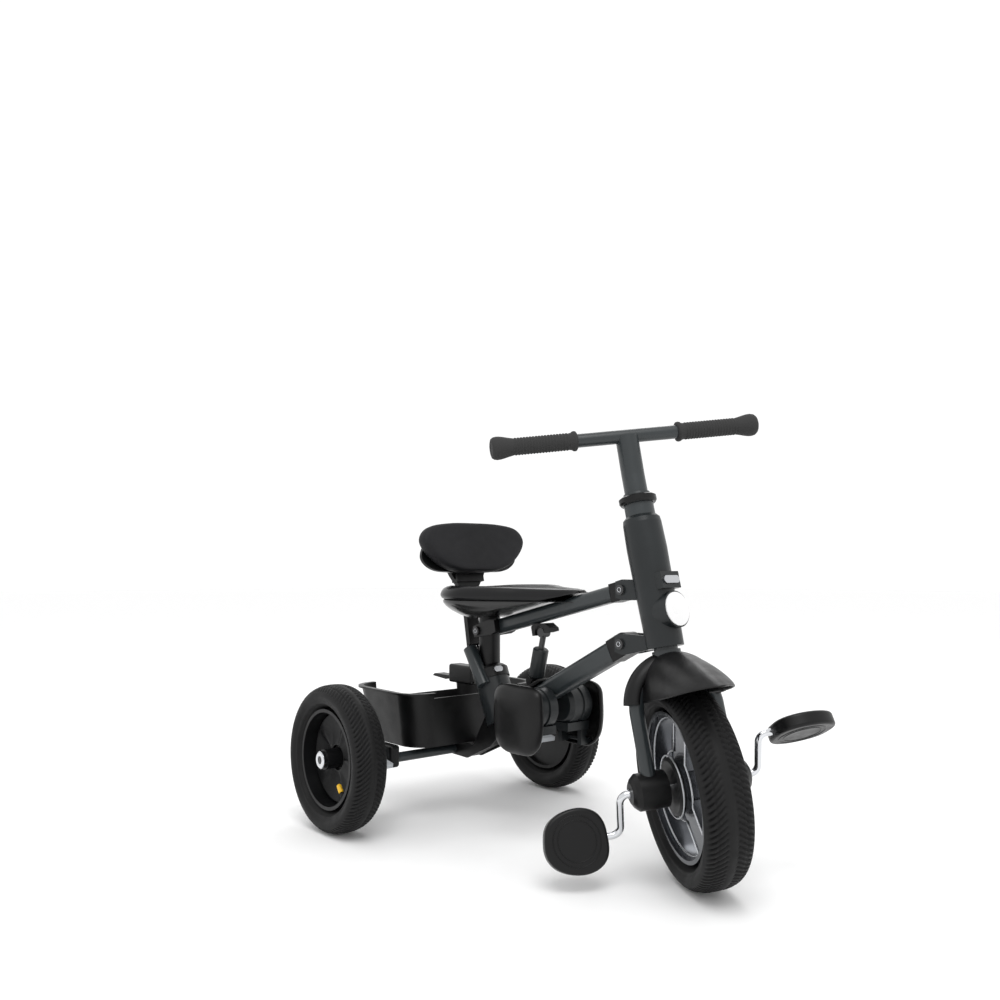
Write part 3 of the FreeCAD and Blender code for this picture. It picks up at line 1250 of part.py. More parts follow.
def front_wheel():
    """Front tyre, three-spoke rim and the two hub discs."""
    place = wheel_frame()
    tyre = wheel_tyre("FrontTyre", s.front_tyre_radius, s.front_tyre_width,
                      s.front_rim_radius, s.front_rim_width)
    keep(tyre, "front_tyre", place)
    edge = s.front_rim_width / 2
    ring = s.front_rim_radius - s.rim_wall
    band = turned("FrontRimBand", [(ring, -edge), (s.front_rim_radius, -edge),
                                   (s.front_rim_radius, edge), (ring, edge)])
    hub_half = s.front_hub_length / 2 - 4
    hub = turned("FrontHub", [(s.front_axle_radius, -hub_half), (s.front_hub_radius - 3, -hub_half),
                              (s.front_hub_radius - 3, hub_half), (s.front_axle_radius, hub_half)])
    spokes = []
    spoke_depth = s.front_rim_width * 0.62
    for turn in (0, 120, 240):
        reach = ring - s.front_hub_radius + 8
        middle = float(s.front_hub_radius) - 6 + float(reach) / 2
        spoke = block("FrontSpoke", reach, s.front_spoke_width, spoke_depth,
                      shift(rotation=Rotation(Vector(0, 0, 1), 60.0 + turn)).multiply(
                          shift(middle, 0, -float(spoke_depth) / 2)))
        spokes.append(spoke)
    keep(fuse("FrontRim", [band, hub] + spokes), "front_rim", place)
    discs = []
    for side, side_name in SIDES:
        disc = turned("FrontHubDisc", [
            (s.front_axle_radius, hub_half), (s.front_hub_radius, hub_half),
            (s.front_hub_radius, hub_half + 5), (s.front_hub_radius - 4, hub_half + 7),
            (s.front_axle_radius, hub_half + 7),
        ])
        outward = Rotation() if side == LEFT else Rotation(Vector(1, 0, 0), 180)
        disc.Placement = place.multiply(shift(rotation=outward))
        discs.append(disc)
    keep(group("FrontHubDiscs", discs), "front_hub_discs")


def cranks():
    """The bent crank rod on each side, one axle across the wheel and a disc pedal at each end."""
    swing = math.radians(float(s.crank_angle))
    arm = Vector(math.cos(swing), 0, math.sin(swing)) * float(s.crank_length)
    reach = float(s.crank_reach)
    offset = Vector(float(s.front_axle_offset), 0, 0)
    spindle_end = float(s.pedal_reach) + float(s.pedal_radius) - 12
    axle_end = float(s.hub_cover_outer) + 2
    rods = Part.makeCylinder(float(s.front_axle_radius), 2 * axle_end, offset - Vector(0, axle_end, 0),
                             Vector(0, 1, 0))
    for side, side_name in SIDES:
        turn = -side
        start = offset + Vector(0, (float(s.hub_cover_outer) + 2) * side, 0)
        corner = offset + Vector(0, reach * side, 0)
        far_corner = corner + arm * turn
        end = far_corner + Vector(0, (spindle_end - reach) * side, 0)
        rods = rods.fuse(rod_along([start, corner, far_corner, end], float(s.crank_radius), float(s.crank_bend)))
        pitch = s.near_pedal_pitch if side == RIGHT else s.far_pedal_pitch
        centre = far_corner + Vector(0, (float(s.pedal_reach) - reach) * side, 0)
        pedal(side, side_name, centre, float(pitch))
    keep(shape_feature("CrankRod", rods.removeSplitter()), "crank_rod", steering())


def pedal(side, side_name, centre, pitch):
    """A disc pedal with a flattened inner side, drilled along its spindle."""
    radius = float(s.pedal_radius)
    thickness = float(s.pedal_thickness)
    outline = [(0.0, 1.0), (0.62, 0.80), (0.90, 0.3), (0.92, -0.42), (0.70, -0.80), (0.34, -0.97), (0.0, -0.99)]
    points = [(across * radius, along * radius * side) for across, along in outline]
    points += [(-across * radius, along * radius * side) for across, along in reversed(outline[1:-1])]
    disc = smooth_prism(points, thickness)
    disc.translate(Vector(0, 0, -thickness / 2))
    disc = disc.makeFillet(4.0, disc.Edges[:])
    bore = Part.makeCylinder(float(s.crank_radius) + float(s.running_gap), 3 * radius,
                             Vector(0, -1.5 * radius, 0), Vector(0, 1, 0))
    end_stop = Part.makeBox(3 * radius, radius, thickness,
                            Vector(-1.5 * radius, (radius - 11.5) * side - (0 if side == LEFT else radius),
                                   -thickness / 2))
    drilled = disc.cut(bore.cut(end_stop))
    place = steering(Placement(centre, Rotation(Vector(0, 1, 0), -pitch)))
    keep(shape_feature("Pedal", drilled), "pedal_" + side_name, place)


# ---------------------------------------------------------------- the whole tricycle

def build():
    """Make every sub-part of the tricycle."""
    for side, side_name in SIDES:
        rear_wheel(side, side_name)
        brake_pedal(side, side_name)
        footrest_pad(side, side_name)
    rear_beam()
    rear_column()
    column_brackets()
    push_handle_socket()
    backrest()
    seat()
    upper_bar()
    lower_bar()
    strut()
    pivot_bolts()
    footrest_drums()
    basket()
    handle_lock()
    steering_head()
    stem()
    handlebar()
    fork()
    fender()
    front_wheel()
    cranks()


def check(document):
    """Stop when any feature failed or any sub-part has no valid solid."""
    for feature in document.Objects:
        if "Invalid" in feature.State or "Error" in feature.State:
            raise RuntimeError("%s (%s) failed: %s" % (feature.Label, feature.Name, feature.State))
    for node in NODES:
        shape = node.Shape
        if shape.isNull() or not shape.isValid() or not shape.Solids:
            raise RuntimeError("%s has no valid solid" % node.Label)


def write_out():
    """Write each sub-part to its own file."""
    os.makedirs("parts", exist_ok=True)
    for node in NODES:
        node.Shape.exportStep("parts/%s.step" % node.Label)


build()
doc.recompute()
check(doc)
write_out()
print("%d sub-parts" % len(NODES))
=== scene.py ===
"""Looks of a children's tricycle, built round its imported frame.

Every finish is worked out by shader nodes, and every added piece is a surface computed on a grid with
numpy: a closed profile turned about an axle, rings of an outline drawn in and lifted, or a round section
carried along a path.  Lengths are metres, +X is forward, +Y the rider's left and +Z up.
"""

from __future__ import annotations

import json
import logging
import math
from dataclasses import dataclass
from enum import Enum

import bmesh
import bpy
import numpy as np
from mathutils import Matrix, Vector

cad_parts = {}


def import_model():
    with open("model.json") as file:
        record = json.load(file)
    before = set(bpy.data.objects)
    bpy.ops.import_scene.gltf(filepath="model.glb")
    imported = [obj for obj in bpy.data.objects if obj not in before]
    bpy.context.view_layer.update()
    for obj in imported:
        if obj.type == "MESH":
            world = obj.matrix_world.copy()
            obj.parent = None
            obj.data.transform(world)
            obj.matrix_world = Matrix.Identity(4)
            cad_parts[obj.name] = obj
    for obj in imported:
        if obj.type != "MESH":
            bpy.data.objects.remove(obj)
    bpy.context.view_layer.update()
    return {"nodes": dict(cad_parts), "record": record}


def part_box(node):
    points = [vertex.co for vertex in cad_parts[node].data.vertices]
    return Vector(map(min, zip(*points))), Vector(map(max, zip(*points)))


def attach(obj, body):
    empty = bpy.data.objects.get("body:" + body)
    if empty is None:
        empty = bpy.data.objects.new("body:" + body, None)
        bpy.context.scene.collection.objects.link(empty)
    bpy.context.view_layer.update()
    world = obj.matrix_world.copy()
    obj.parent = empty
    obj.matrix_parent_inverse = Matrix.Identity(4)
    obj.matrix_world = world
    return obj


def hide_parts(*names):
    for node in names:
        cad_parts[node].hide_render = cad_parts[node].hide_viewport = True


LOG = logging.getLogger("tricycle")
Array = np.ndarray


# ---- finishes

class Grain(Enum):
    """The fine relief that a finish carries."""

    SATIN = "fine orange peel of sprayed paint"
    MOULDED = "spark-eroded grain of moulded plastic"
    SKIN = "pebbled skin of moulded foam"
    RUBBER = "slightly mottled rubber"
    POLISHED = "almost smooth polished metal"
    BRUSHED = "fine lines of brushed metal"
    WOVEN = "two crossed sets of threads"


# For each grain, how many grains a metre and how strong the bump is.
GRAIN_SIZE: dict[Grain, tuple[float, float]] = {
    Grain.SATIN: (900.0, 0.04),
    Grain.MOULDED: (1500.0, 0.16),
    Grain.SKIN: (620.0, 0.30),
    Grain.RUBBER: (700.0, 0.18),
    Grain.POLISHED: (300.0, 0.01),
    Grain.BRUSHED: (1200.0, 0.05),
    Grain.WOVEN: (1100.0, 0.30),
}

# Noises as (scale, octaves): worn patches, marks at hand scale, and the octaves of the fine grain.
PATCH_NOISE = (14.0, 4.0)
HAND_NOISE = (55.0, 3.0)
GRAIN_OCTAVES = 2.0
PATCH_SPAN = (0.35, 0.75)
HAND_SPAN = (0.3, 0.7)
COAT_ROUGHNESS = 0.18
POLISHED_EDGE_ROUGHNESS = 0.26
BUMP_DEPTH = 0.0006
BANDS_IN_A_WAVE = 6.0


@dataclass(frozen=True)
class Finish:
    """One surface finish, turned into a node material on object coordinates.

    Attributes:
        name: name of the material.
        colour: base colour, linear red, green and blue.
        rough: middle roughness.
        metal: 1 for bare metal, else 0.
        grain: fine relief.
        spread: how far the roughness varies either way.
        tint: how much lighter the worn patches are, as a share.
        specular: specular level of the shader.
        coat: clear coat weight.
        top_mask: whether the mesh's "top" attribute turns the grain on and the gloss off.
    """

    name: str
    colour: tuple[float, float, float]
    rough: float
    metal: float = 0.0
    grain: Grain = Grain.MOULDED
    spread: float = 0.06
    tint: float = 0.35
    specular: float = 0.4
    coat: float = 0.0
    top_mask: bool = False

    def material(self) -> bpy.types.Material:
        """Build the node material, or return it when it already exists.

        Returns:
            The material: patchy tint and roughness from broad noise, and a bump from fine grain.
        """
        found = bpy.data.materials.get(self.name)
        if found is not None:
            return found
        material = bpy.data.materials.new(self.name)
        material.use_nodes = True
        tree = material.node_tree
        tree.nodes.clear()
        output = tree.nodes.new("ShaderNodeOutputMaterial")
        shader = tree.nodes.new("ShaderNodeBsdfPrincipled")
        tree.links.new(shader.outputs["BSDF"], output.inputs["Surface"])
        shader.inputs["Metallic"].default_value = self.metal
        shader.inputs["Specular IOR Level"].default_value = self.specular
        shader.inputs["Coat Weight"].default_value = self.coat
        shader.inputs["Coat Roughness"].default_value = COAT_ROUGHNESS
        place = tree.nodes.new("ShaderNodeTexCoord").outputs["Object"]
        patches = self._noise(tree, place, *PATCH_NOISE)
        self._colour(tree, shader, patches)
        self._roughness(tree, shader, self._noise(tree, place, *HAND_NOISE))
        self._relief(tree, shader, place)
        return material

    def _noise(self, tree: bpy.types.NodeTree, place: bpy.types.NodeSocket, scale: float,
               detail: float) -> bpy.types.NodeSocket:
        """Add a noise texture.

        Args:
            tree: node tree to add to.
            place: coordinates.
            scale: how many blotches a metre.
            detail: octaves.

        Returns:
            The noise value.
        """
        noise = tree.nodes.new("ShaderNodeTexNoise")
        noise.inputs["Scale"].default_value = scale
        noise.inputs["Detail"].default_value = detail
        tree.links.new(place, noise.inputs["Vector"])
        return noise.outputs["Fac"]

    def _colour(self, tree: bpy.types.NodeTree, shader: bpy.types.ShaderNode,
                patches: bpy.types.NodeSocket) -> None:
        """Vary the base colour between its own tone and a slightly worn one.

        Args:
            tree: node tree to add to.
            shader: principled shader.
            patches: broad noise.
        """
        ramp = tree.nodes.new("ShaderNodeValToRGB")
        ramp.color_ramp.elements[0].position = PATCH_SPAN[0]
        ramp.color_ramp.elements[0].color = (*self.colour, 1.0)
        ramp.color_ramp.elements[1].position = PATCH_SPAN[1]
        worn = (min(1.0, channel * (1.0 + self.tint)) for channel in self.colour)
        ramp.color_ramp.elements[1].color = (*worn, 1.0)
        tree.links.new(patches, ramp.inputs["Fac"])
        tree.links.new(ramp.outputs["Color"], shader.inputs["Base Color"])

    def _roughness(self, tree: bpy.types.NodeTree, shader: bpy.types.ShaderNode,
                   patches: bpy.types.NodeSocket) -> None:
        """Vary the roughness, and polish the parts outside the top mask.

        Args:
            tree: node tree to add to.
            shader: principled shader.
            patches: noise at hand scale.
        """
        spread = tree.nodes.new("ShaderNodeMapRange")
        spread.inputs["From Min"].default_value = HAND_SPAN[0]
        spread.inputs["From Max"].default_value = HAND_SPAN[1]
        spread.inputs["To Min"].default_value = max(0.02, self.rough - self.spread)
        spread.inputs["To Max"].default_value = min(1.0, self.rough + self.spread)
        tree.links.new(patches, spread.inputs["Value"])
        value = spread.outputs["Result"]
        if self.top_mask:
            mask = tree.nodes.new("ShaderNodeAttribute")
            mask.attribute_name = "top"
            mix = tree.nodes.new("ShaderNodeMix")
            mix.data_type = "FLOAT"
            tree.links.new(mask.outputs["Fac"], mix.inputs["Factor"])
            mix.inputs["A"].default_value = POLISHED_EDGE_ROUGHNESS
            tree.links.new(value, mix.inputs["B"])
            value = mix.outputs["Result"]
        tree.links.new(value, shader.inputs["Roughness"])

    def _relief(self, tree: bpy.types.NodeTree, shader: bpy.types.ShaderNode,
                place: bpy.types.NodeSocket) -> None:
        """Add the fine grain as a bump.

        Args:
            tree: node tree to add to.
            shader: principled shader.
            place: coordinates.
        """
        scale, strength = GRAIN_SIZE[self.grain]
        if self.grain is Grain.SKIN:
            cells = tree.nodes.new("ShaderNodeTexVoronoi")
            cells.inputs["Scale"].default_value = scale
            tree.links.new(place, cells.inputs["Vector"])
            height = cells.outputs["Distance"]
        elif self.grain is Grain.WOVEN:
            height = self._weave(tree, place, scale)
        elif self.grain is Grain.BRUSHED:
            stretch = tree.nodes.new("ShaderNodeMapping")
            stretch.inputs["Scale"].default_value = (1.0, 0.05, 1.0)
            tree.links.new(place, stretch.inputs["Vector"])
            height = self._noise(tree, stretch.outputs["Vector"], scale, GRAIN_OCTAVES)
        else:
            height = self._noise(tree, place, scale, GRAIN_OCTAVES)
        bump = tree.nodes.new("ShaderNodeBump")
        bump.inputs["Strength"].default_value = strength
        bump.inputs["Distance"].default_value = BUMP_DEPTH
        tree.links.new(height, bump.inputs["Height"])
        if self.top_mask:
            mask = tree.nodes.new("ShaderNodeAttribute")
            mask.attribute_name = "top"
            scaled = tree.nodes.new("ShaderNodeMath")
            scaled.operation = "MULTIPLY"
            tree.links.new(mask.outputs["Fac"], scaled.inputs[0])
            scaled.inputs[1].default_value = strength
            tree.links.new(scaled.outputs["Value"], bump.inputs["Strength"])
        tree.links.new(bump.outputs["Normal"], shader.inputs["Normal"])

    def _weave(self, tree: bpy.types.NodeTree, place: bpy.types.NodeSocket,
               scale: float) -> bpy.types.NodeSocket:
        """Cross two sets of fine bands, as warp and weft.

        Args:
            tree: node tree to add to.
            place: coordinates.
            scale: bands a metre.

        Returns:
            The height of the cloth: the higher of the two threads.
        """
        bands = []
        for direction in ("Y", "Z"):
            wave = tree.nodes.new("ShaderNodeTexWave")
            wave.bands_direction = direction
            wave.inputs["Scale"].default_value = scale / BANDS_IN_A_WAVE
            tree.links.new(place, wave.inputs["Vector"])
            bands.append(wave.outputs["Fac"])
        top = tree.nodes.new("ShaderNodeMath")
        top.operation = "MAXIMUM"
        tree.links.new(bands[0], top.inputs[0])
        tree.links.new(bands[1], top.inputs[1])
        return top.outputs["Value"]


SLATE = (0.0135, 0.0175, 0.0192)
COAL = (0.0026, 0.0026, 0.0028)

TUBE_PAINT = Finish("slate_paint", SLATE, 0.36, grain=Grain.SATIN, specular=0.45, coat=0.15)
SLATE_PLASTIC = Finish("slate_moulding", (0.0085, 0.0105, 0.0115), 0.34, grain=Grain.MOULDED, specular=0.35)
BLACK_PLASTIC = Finish("black_moulding", COAL, 0.36, grain=Grain.MOULDED, specular=0.26)
GLOSS_BLACK = Finish("gloss_black", (0.003, 0.003, 0.0033), 0.24, grain=Grain.SATIN, specular=0.3)
SEAT_SKIN = Finish("seat_skin", (0.0050, 0.0050, 0.0055), 0.62, grain=Grain.SKIN, specular=0.25,
                   top_mask=True)
BACKREST_SKIN = Finish("backrest_skin", (0.0105, 0.0105, 0.0118), 0.6, grain=Grain.WOVEN, specular=0.2)
TYRE_RUBBER = Finish("tyre_rubber", (0.0045, 0.0045, 0.0047), 0.6, grain=Grain.RUBBER, specular=0.24)
GRIP_RUBBER = Finish("grip_rubber", (0.0045, 0.0045, 0.0048), 0.45, grain=Grain.SKIN, specular=0.28)
BLACK_NICKEL = Finish("black_nickel", (0.10, 0.105, 0.115), 0.2, metal=0.85, grain=Grain.SATIN, spread=0.04)
BOLT_STEEL = Finish("blackened_bolt", (0.02, 0.02, 0.021), 0.35, grain=Grain.SATIN, specular=0.5)
CHROME = Finish("chrome_plate", (0.62, 0.63, 0.65), 0.08, metal=1.0, grain=Grain.POLISHED, spread=0.03,
                tint=0.1)
SILVER = Finish("satin_silver", (0.50, 0.51, 0.53), 0.28, metal=1.0, grain=Grain.BRUSHED, tint=0.12)
BRAKE_GREY = Finish("light_grey_moulding", (0.42, 0.44, 0.46), 0.45, grain=Grain.MOULDED, tint=0.08)
RIM_DARK = Finish("dark_rim", (0.0042, 0.0043, 0.0047), 0.42, grain=Grain.SATIN, specular=0.25)
BADGE_WHITE = Finish("plain_badge", (0.78, 0.78, 0.78), 0.3, grain=Grain.SATIN, tint=0.03)
VALVE_YELLOW = Finish("yellow_cap", (0.72, 0.42, 0.02), 0.4, grain=Grain.MOULDED, tint=0.1)

SLOT_FINISH: dict[str, Finish] = {
    "tube_paint": TUBE_PAINT,
    "slate_plastic": SLATE_PLASTIC,
    "black_plastic": BLACK_PLASTIC,
    "gloss_black": GLOSS_BLACK,
    "seat_top": SEAT_SKIN,
    "pad_fabric": BACKREST_SKIN,
    "tyre": TYRE_RUBBER,
    "grip_rubber": GRIP_RUBBER,
    "chrome": CHROME,
    "brake_grey": BRAKE_GREY,
    "rim_dark": RIM_DARK,
    "badge_white": BADGE_WHITE,
    "silver": SILVER,
}


NODE_FINISH: dict[str, Finish] = {
    "front_rim": BLACK_NICKEL,
    "rear_pivot_bolts": BOLT_STEEL,
    "front_pivot_bolts": BOLT_STEEL,
    "strut_rod": BOLT_STEEL,
    "rear_stub_axles": BOLT_STEEL,
    "head_cover": SLATE_PLASTIC,
    "head_cap": SLATE_PLASTIC,
}


# ---- surfaces

def unit(vector: Array) -> Array:
    """Scale vectors to length one along the last axis."""
    return vector / np.linalg.norm(vector, axis=-1, keepdims=True)


def surface(name: str, points: Array, finish: Finish, round_u: bool = True, round_v: bool = False,
            top: Array | None = None) -> bpy.types.Object:
    """Make a mesh from a grid of points, joining row i to row i + 1 and column j to column j + 1.

    Args:
        name: object name.
        points: array of shape (rows, columns, 3).
        finish: finish to dress it in.
        round_u: whether the last row joins the first.
        round_v: whether the last column joins the first.
        top: a value for each point, kept as the "top" attribute.

    Returns:
        The new object, smooth shaded, its equal points merged and its faces turned outwards.
    """
    rows, columns = points.shape[:2]
    index = np.arange(rows * columns).reshape(rows, columns)
    below = np.roll(index, -1, axis=0) if round_u else index[1:]
    here = index if round_u else index[:-1]
    if round_v:
        right, left = np.roll(below, -1, axis=1), np.roll(here, -1, axis=1)
        faces = np.stack([here, below, right, left], axis=-1)
    else:
        faces = np.stack([here[:, :-1], below[:, :-1], below[:, 1:], here[:, 1:]], axis=-1)
    mesh = bpy.data.meshes.new(name)
    mesh.from_pydata(points.reshape(-1, 3).tolist(), [], faces.reshape(-1, 4).tolist())
    if top is not None:
        layer = mesh.attributes.new("top", "FLOAT", "POINT")
        layer.data.foreach_set("value", np.ascontiguousarray(top, dtype=np.float32).ravel())
    work = bmesh.new()
    work.from_mesh(mesh)
    bmesh.ops.remove_doubles(work, verts=work.verts, dist=1e-6)
    bmesh.ops.recalc_face_normals(work, faces=work.faces)
    work.to_mesh(mesh)
    work.free()
    mesh.shade_smooth()
    mesh.materials.append(finish.material())
    piece = bpy.data.objects.new(name, mesh)
    bpy.context.scene.collection.objects.link(piece)
    return piece


def closed_curve(points: Array, count: int) -> Array:
    """A smooth closed curve through points.

    It is the uniform cubic whose slope at each point is half the chord of its neighbours.

    Args:
        points: array of shape (n, 2).
        count: how many points to return.

    Returns:
        Array of shape (count, 2).
    """
    place = np.linspace(0.0, len(points), count, endpoint=False)
    start = np.floor(place).astype(int)
    t = (place - start)[:, None]
    before, here, after, beyond = (points[(start + k) % len(points)] for k in (-1, 0, 1, 2))
    return 0.5 * (2 * here + (after - before) * t + (2 * before - 5 * here + 4 * after - beyond) * t ** 2
                  + (3 * here - before - 3 * after + beyond) * t ** 3)


@dataclass(frozen=True)
class Axis:
    """A place with three square directions: the axis itself and two across it."""

    centre: Array
    along: Array

    @property
    def across(self) -> tuple[Array, Array]:
        """Two directions at right angles to the axis, the second as near upright as it can be."""
        upright = np.array([0.0, 0.0, 1.0])
        side = unit(np.cross(self.along, upright))
        return side, np.cross(side, self.along)

    def place(self, radius: Array, angle: Array, along: Array) -> Array:
        """Turn cylinder coordinates into points: centre + along·axis + radius·(cos·side + sin·up)."""
        side, up = self.across
        return (self.centre + along[..., None] * self.along
                + radius[..., None] * (np.cos(angle)[..., None] * side + np.sin(angle)[..., None] * up))


def turned(name: str, axis: Axis, profile: Array, finish: Finish, segments: int = 96,
           ring: bool = False) -> bpy.types.Object:
    """Turn a profile of (radius, distance along the axis) about an axis.

    Args:
        name: object name.
        axis: axis to turn about.
        profile: array of shape (n, 2).
        finish: finish to dress it in.
        segments: steps round the axis.
        ring: whether the profile closes on itself; otherwise it starts and ends on the axis.

    Returns:
        The turned piece.
    """
    angle = np.linspace(0, 2 * np.pi, segments, endpoint=False)[:, None]
    radius = np.broadcast_to(profile[:, 0], (segments, len(profile)))
    along = np.broadcast_to(profile[:, 1], (segments, len(profile)))
    return surface(name, axis.place(radius, angle + 0 * radius, along), finish, round_v=ring)


def rod(name: str, path: Array, normal: Array, radius: float, finish: Finish,
        segments: int = 10) -> bpy.types.Object:
    """Carry a round section along a closed path that lies across one normal.

    Each point of the path is surrounded by radius·(cos·normal + sin·(tangent × normal)).

    Args:
        name: object name.
        path: array of shape (n, 3).
        normal: direction square to the path's plane.
        radius: section radius.
        finish: finish to dress it in.
        segments: steps round the section.

    Returns:
        The rod.
    """
    tangent = unit(np.roll(path, -1, axis=0) - np.roll(path, 1, axis=0))
    outward = unit(np.cross(tangent, normal))
    angle = np.linspace(0, 2 * np.pi, segments, endpoint=False)
    points = (path[:, None] + radius * (np.cos(angle)[None, :, None] * normal
                                        + np.sin(angle)[None, :, None] * outward[:, None]))
    return surface(name, points, finish, round_v=True)


def belongs(piece: bpy.types.Object, body: str, slot: str, *nodes: str) -> bpy.types.Object:
    """Tie a piece to its body, and hide the CAD nodes that it stands for."""
    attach(piece, body)
    if nodes:
        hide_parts(*nodes)
    return piece


# ---- wheels

@dataclass
class TreadedTyre:
    """An air tyre with a raised middle rib and slanting tread cuts either side of it.

    Attributes:
        node: CAD node that it stands for.
        body: body that it rides on.
        axis: wheel centre and axle direction.
        radius: outer radius.
        width: widest section.
        seat: radius at the rim.
        seat_width: width at the rim.
        blocks: tread cuts round the tyre.
        depth: tread depth.
    """

    node: str
    body: str
    axis: Axis
    radius: float
    width: float
    seat: float
    seat_width: float
    blocks: int
    depth: float = 0.0023
    squareness: float = 0.8
    middle_share: float = 0.52
    steps_per_block: int = 8
    section_steps: int = 72

    @property
    def middle(self) -> float:
        """The radius at which the section is widest."""
        return self.seat + self.middle_share * (self.radius - self.seat)

    def section(self, turn: Array) -> tuple[Array, Array, Array]:
        """The tyre's section for a turn from -1 to 1, with 0 at the middle of the tread.

        Radius is the middle radius plus the height above or below it times the cosine, and the offset is
        half the width times the sine, both drawn towards a square by a power; the inner half narrows to
        the rim.

        Args:
            turn: share of a half turn round the section.

        Returns:
            Radius, offset along the axle, and the offset's share of the half width.
        """
        cosine, sine = np.cos(np.pi * turn), np.sin(np.pi * turn)
        high = np.sign(cosine) * np.abs(cosine) ** self.squareness
        wide = np.sign(sine) * np.abs(sine) ** self.squareness
        above, below = self.radius - self.middle, self.middle - self.seat
        radius = self.middle + np.where(high > 0, above, below) * high
        narrowed = np.where(high < 0, 1 + high * (1 - self.seat_width / self.width), 1.0)
        offset = wide * narrowed * self.width / 2
        return radius, offset, np.abs(offset) / (self.width / 2)

    def cut_depth(self, angle: Array, share: Array, outer: Array, side: Array) -> Array:
        """How deep the tread is cut at each point.

        A cut is a slanting band whose phase is the blocks round the wheel plus the share of the width, so
        the two sides lean apart as a herringbone; grooves run beside the rib and round each shoulder.

        Args:
            angle: angle round the wheel.
            share: share of the half width.
            outer: whether the point is on the outer half of the section.
            side: -1 on the right half and 1 on the left.

        Returns:
            Depth as a share of the tread depth.
        """
        phase = (self.blocks * angle / (2 * np.pi) + 3.1 * share + 0.25 * side) % 1.0
        slant = np.clip(np.minimum(phase, 0.42 - phase) / 0.10, 0, 1)
        tread = np.clip((share - 0.20) / 0.03, 0, 1) * np.clip((0.93 - share) / 0.05, 0, 1)
        cuts = slant * tread
        groove = np.clip(1 - np.abs(share - 0.17) / 0.04, 0, 1)
        split = np.clip(1 - np.abs(share - 0.60) / 0.03, 0, 1) * 0.7
        return np.where(outer, np.maximum.reduce([cuts, groove, split]), 0.0)

    def sidewall(self, radius: Array, share: Array) -> Array:
        """Two thin raised rings on each sidewall, as a share of the tread depth."""
        height = (radius - self.seat) / (self.radius - self.seat)
        rings = [np.exp(-((height - place) / 0.028) ** 2) for place in (0.26, 0.62)]
        return np.where(share > 0.7, 0.55 * np.maximum(*rings), 0.0)

    def build(self) -> bpy.types.Object:
        """Make the tyre: the section carried round the axle and drawn in by the tread's depth."""
        around = self.blocks * self.steps_per_block
        across = self.section_steps
        angle = np.linspace(0, 2 * np.pi, around, endpoint=False)[:, None]
        turn = np.linspace(-1, 1, across, endpoint=False)[None, :]
        turn = turn * (0.72 + 0.28 * np.abs(turn))
        radius, offset, share = (np.broadcast_to(v, (around, across)) for v in self.section(turn))
        cuts = self.cut_depth(angle, share, radius > self.middle, np.sign(offset))
        lowered = self.depth * (cuts - self.sidewall(radius, share))
        lowered = np.where(share > 0.97, np.maximum(lowered, 0.0), lowered)
        scale = 1 - lowered / ((self.radius - self.seat) / 2)
        drawn_in = self.middle + (radius - self.middle) * scale
        points = self.axis.place(drawn_in, angle + 0 * radius, offset * scale)
        piece = surface(self.node + "_treaded", points, TYRE_RUBBER, round_v=True)
        return belongs(piece, self.body, "tyre", self.node)


@dataclass
class FrontWheelTrim:
    """Bright edges on the front rim: round its three windows and round the hub disc."""

    axis: Axis
    hub: float = 0.0385
    inner: float = 0.043
    outer: float = 0.0845
    face: float = 0.0145
    hub_face: float = 0.0235
    spoke_half: float = 0.0175
    circle_steps: int = 90
    wire: float = 0.0011

    def window(self, turn: float, side: int) -> Array:
        """The outline of one window: inner arc, edge of a spoke, outer arc and edge of the next.

        Args:
            turn: direction of the window's middle.
            side: -1 for the right face and 1 for the left.

        Returns:
            Points round the window.
        """
        near = np.pi / 3 - np.arcsin(self.spoke_half / self.inner)
        far = np.pi / 3 - np.arcsin(self.spoke_half / self.outer)
        arc_in = np.linspace(-near, near, 14)
        arc_out = np.linspace(far, -far, 26)
        rising = self.inner + np.linspace(0, 1, 10)[1:-1] * (self.outer - self.inner)
        radius = np.concatenate([np.full_like(arc_in, self.inner), rising,
                                 np.full_like(arc_out, self.outer), rising[::-1]])
        edge = np.arcsin(self.spoke_half / rising)
        angle = np.concatenate([arc_in, np.pi / 3 - edge, arc_out, -(np.pi / 3 - edge[::-1])])
        along = np.full_like(radius, side * self.face)
        return self.axis.place(radius, angle + turn, along)

    def build(self, first: float) -> list[bpy.types.Object]:
        """Make the trims.

        Args:
            first: direction of the first window's middle round the axle.

        Returns:
            The trims of both faces.
        """
        pieces = []
        for side, name in ((-1, "right"), (1, "left")):
            for count in range(3):
                path = self.window(first + count * 2 * np.pi / 3, side)
                piece = rod(f"window_edge_{name}_{count + 1}", path, self.axis.along, self.wire, SILVER)
                pieces.append(belongs(piece, "front_wheel", "silver"))
            circle = np.linspace(0, 2 * np.pi, self.circle_steps, endpoint=False)
            level = np.full_like(circle, side * self.hub_face)
            path = self.axis.place(np.full_like(circle, self.hub), circle, level)
            piece = rod(f"hub_edge_{name}", path, self.axis.along, self.wire, SILVER)
            pieces.append(belongs(piece, "front_wheel", "silver"))
        return pieces


# ---- seat and backrest

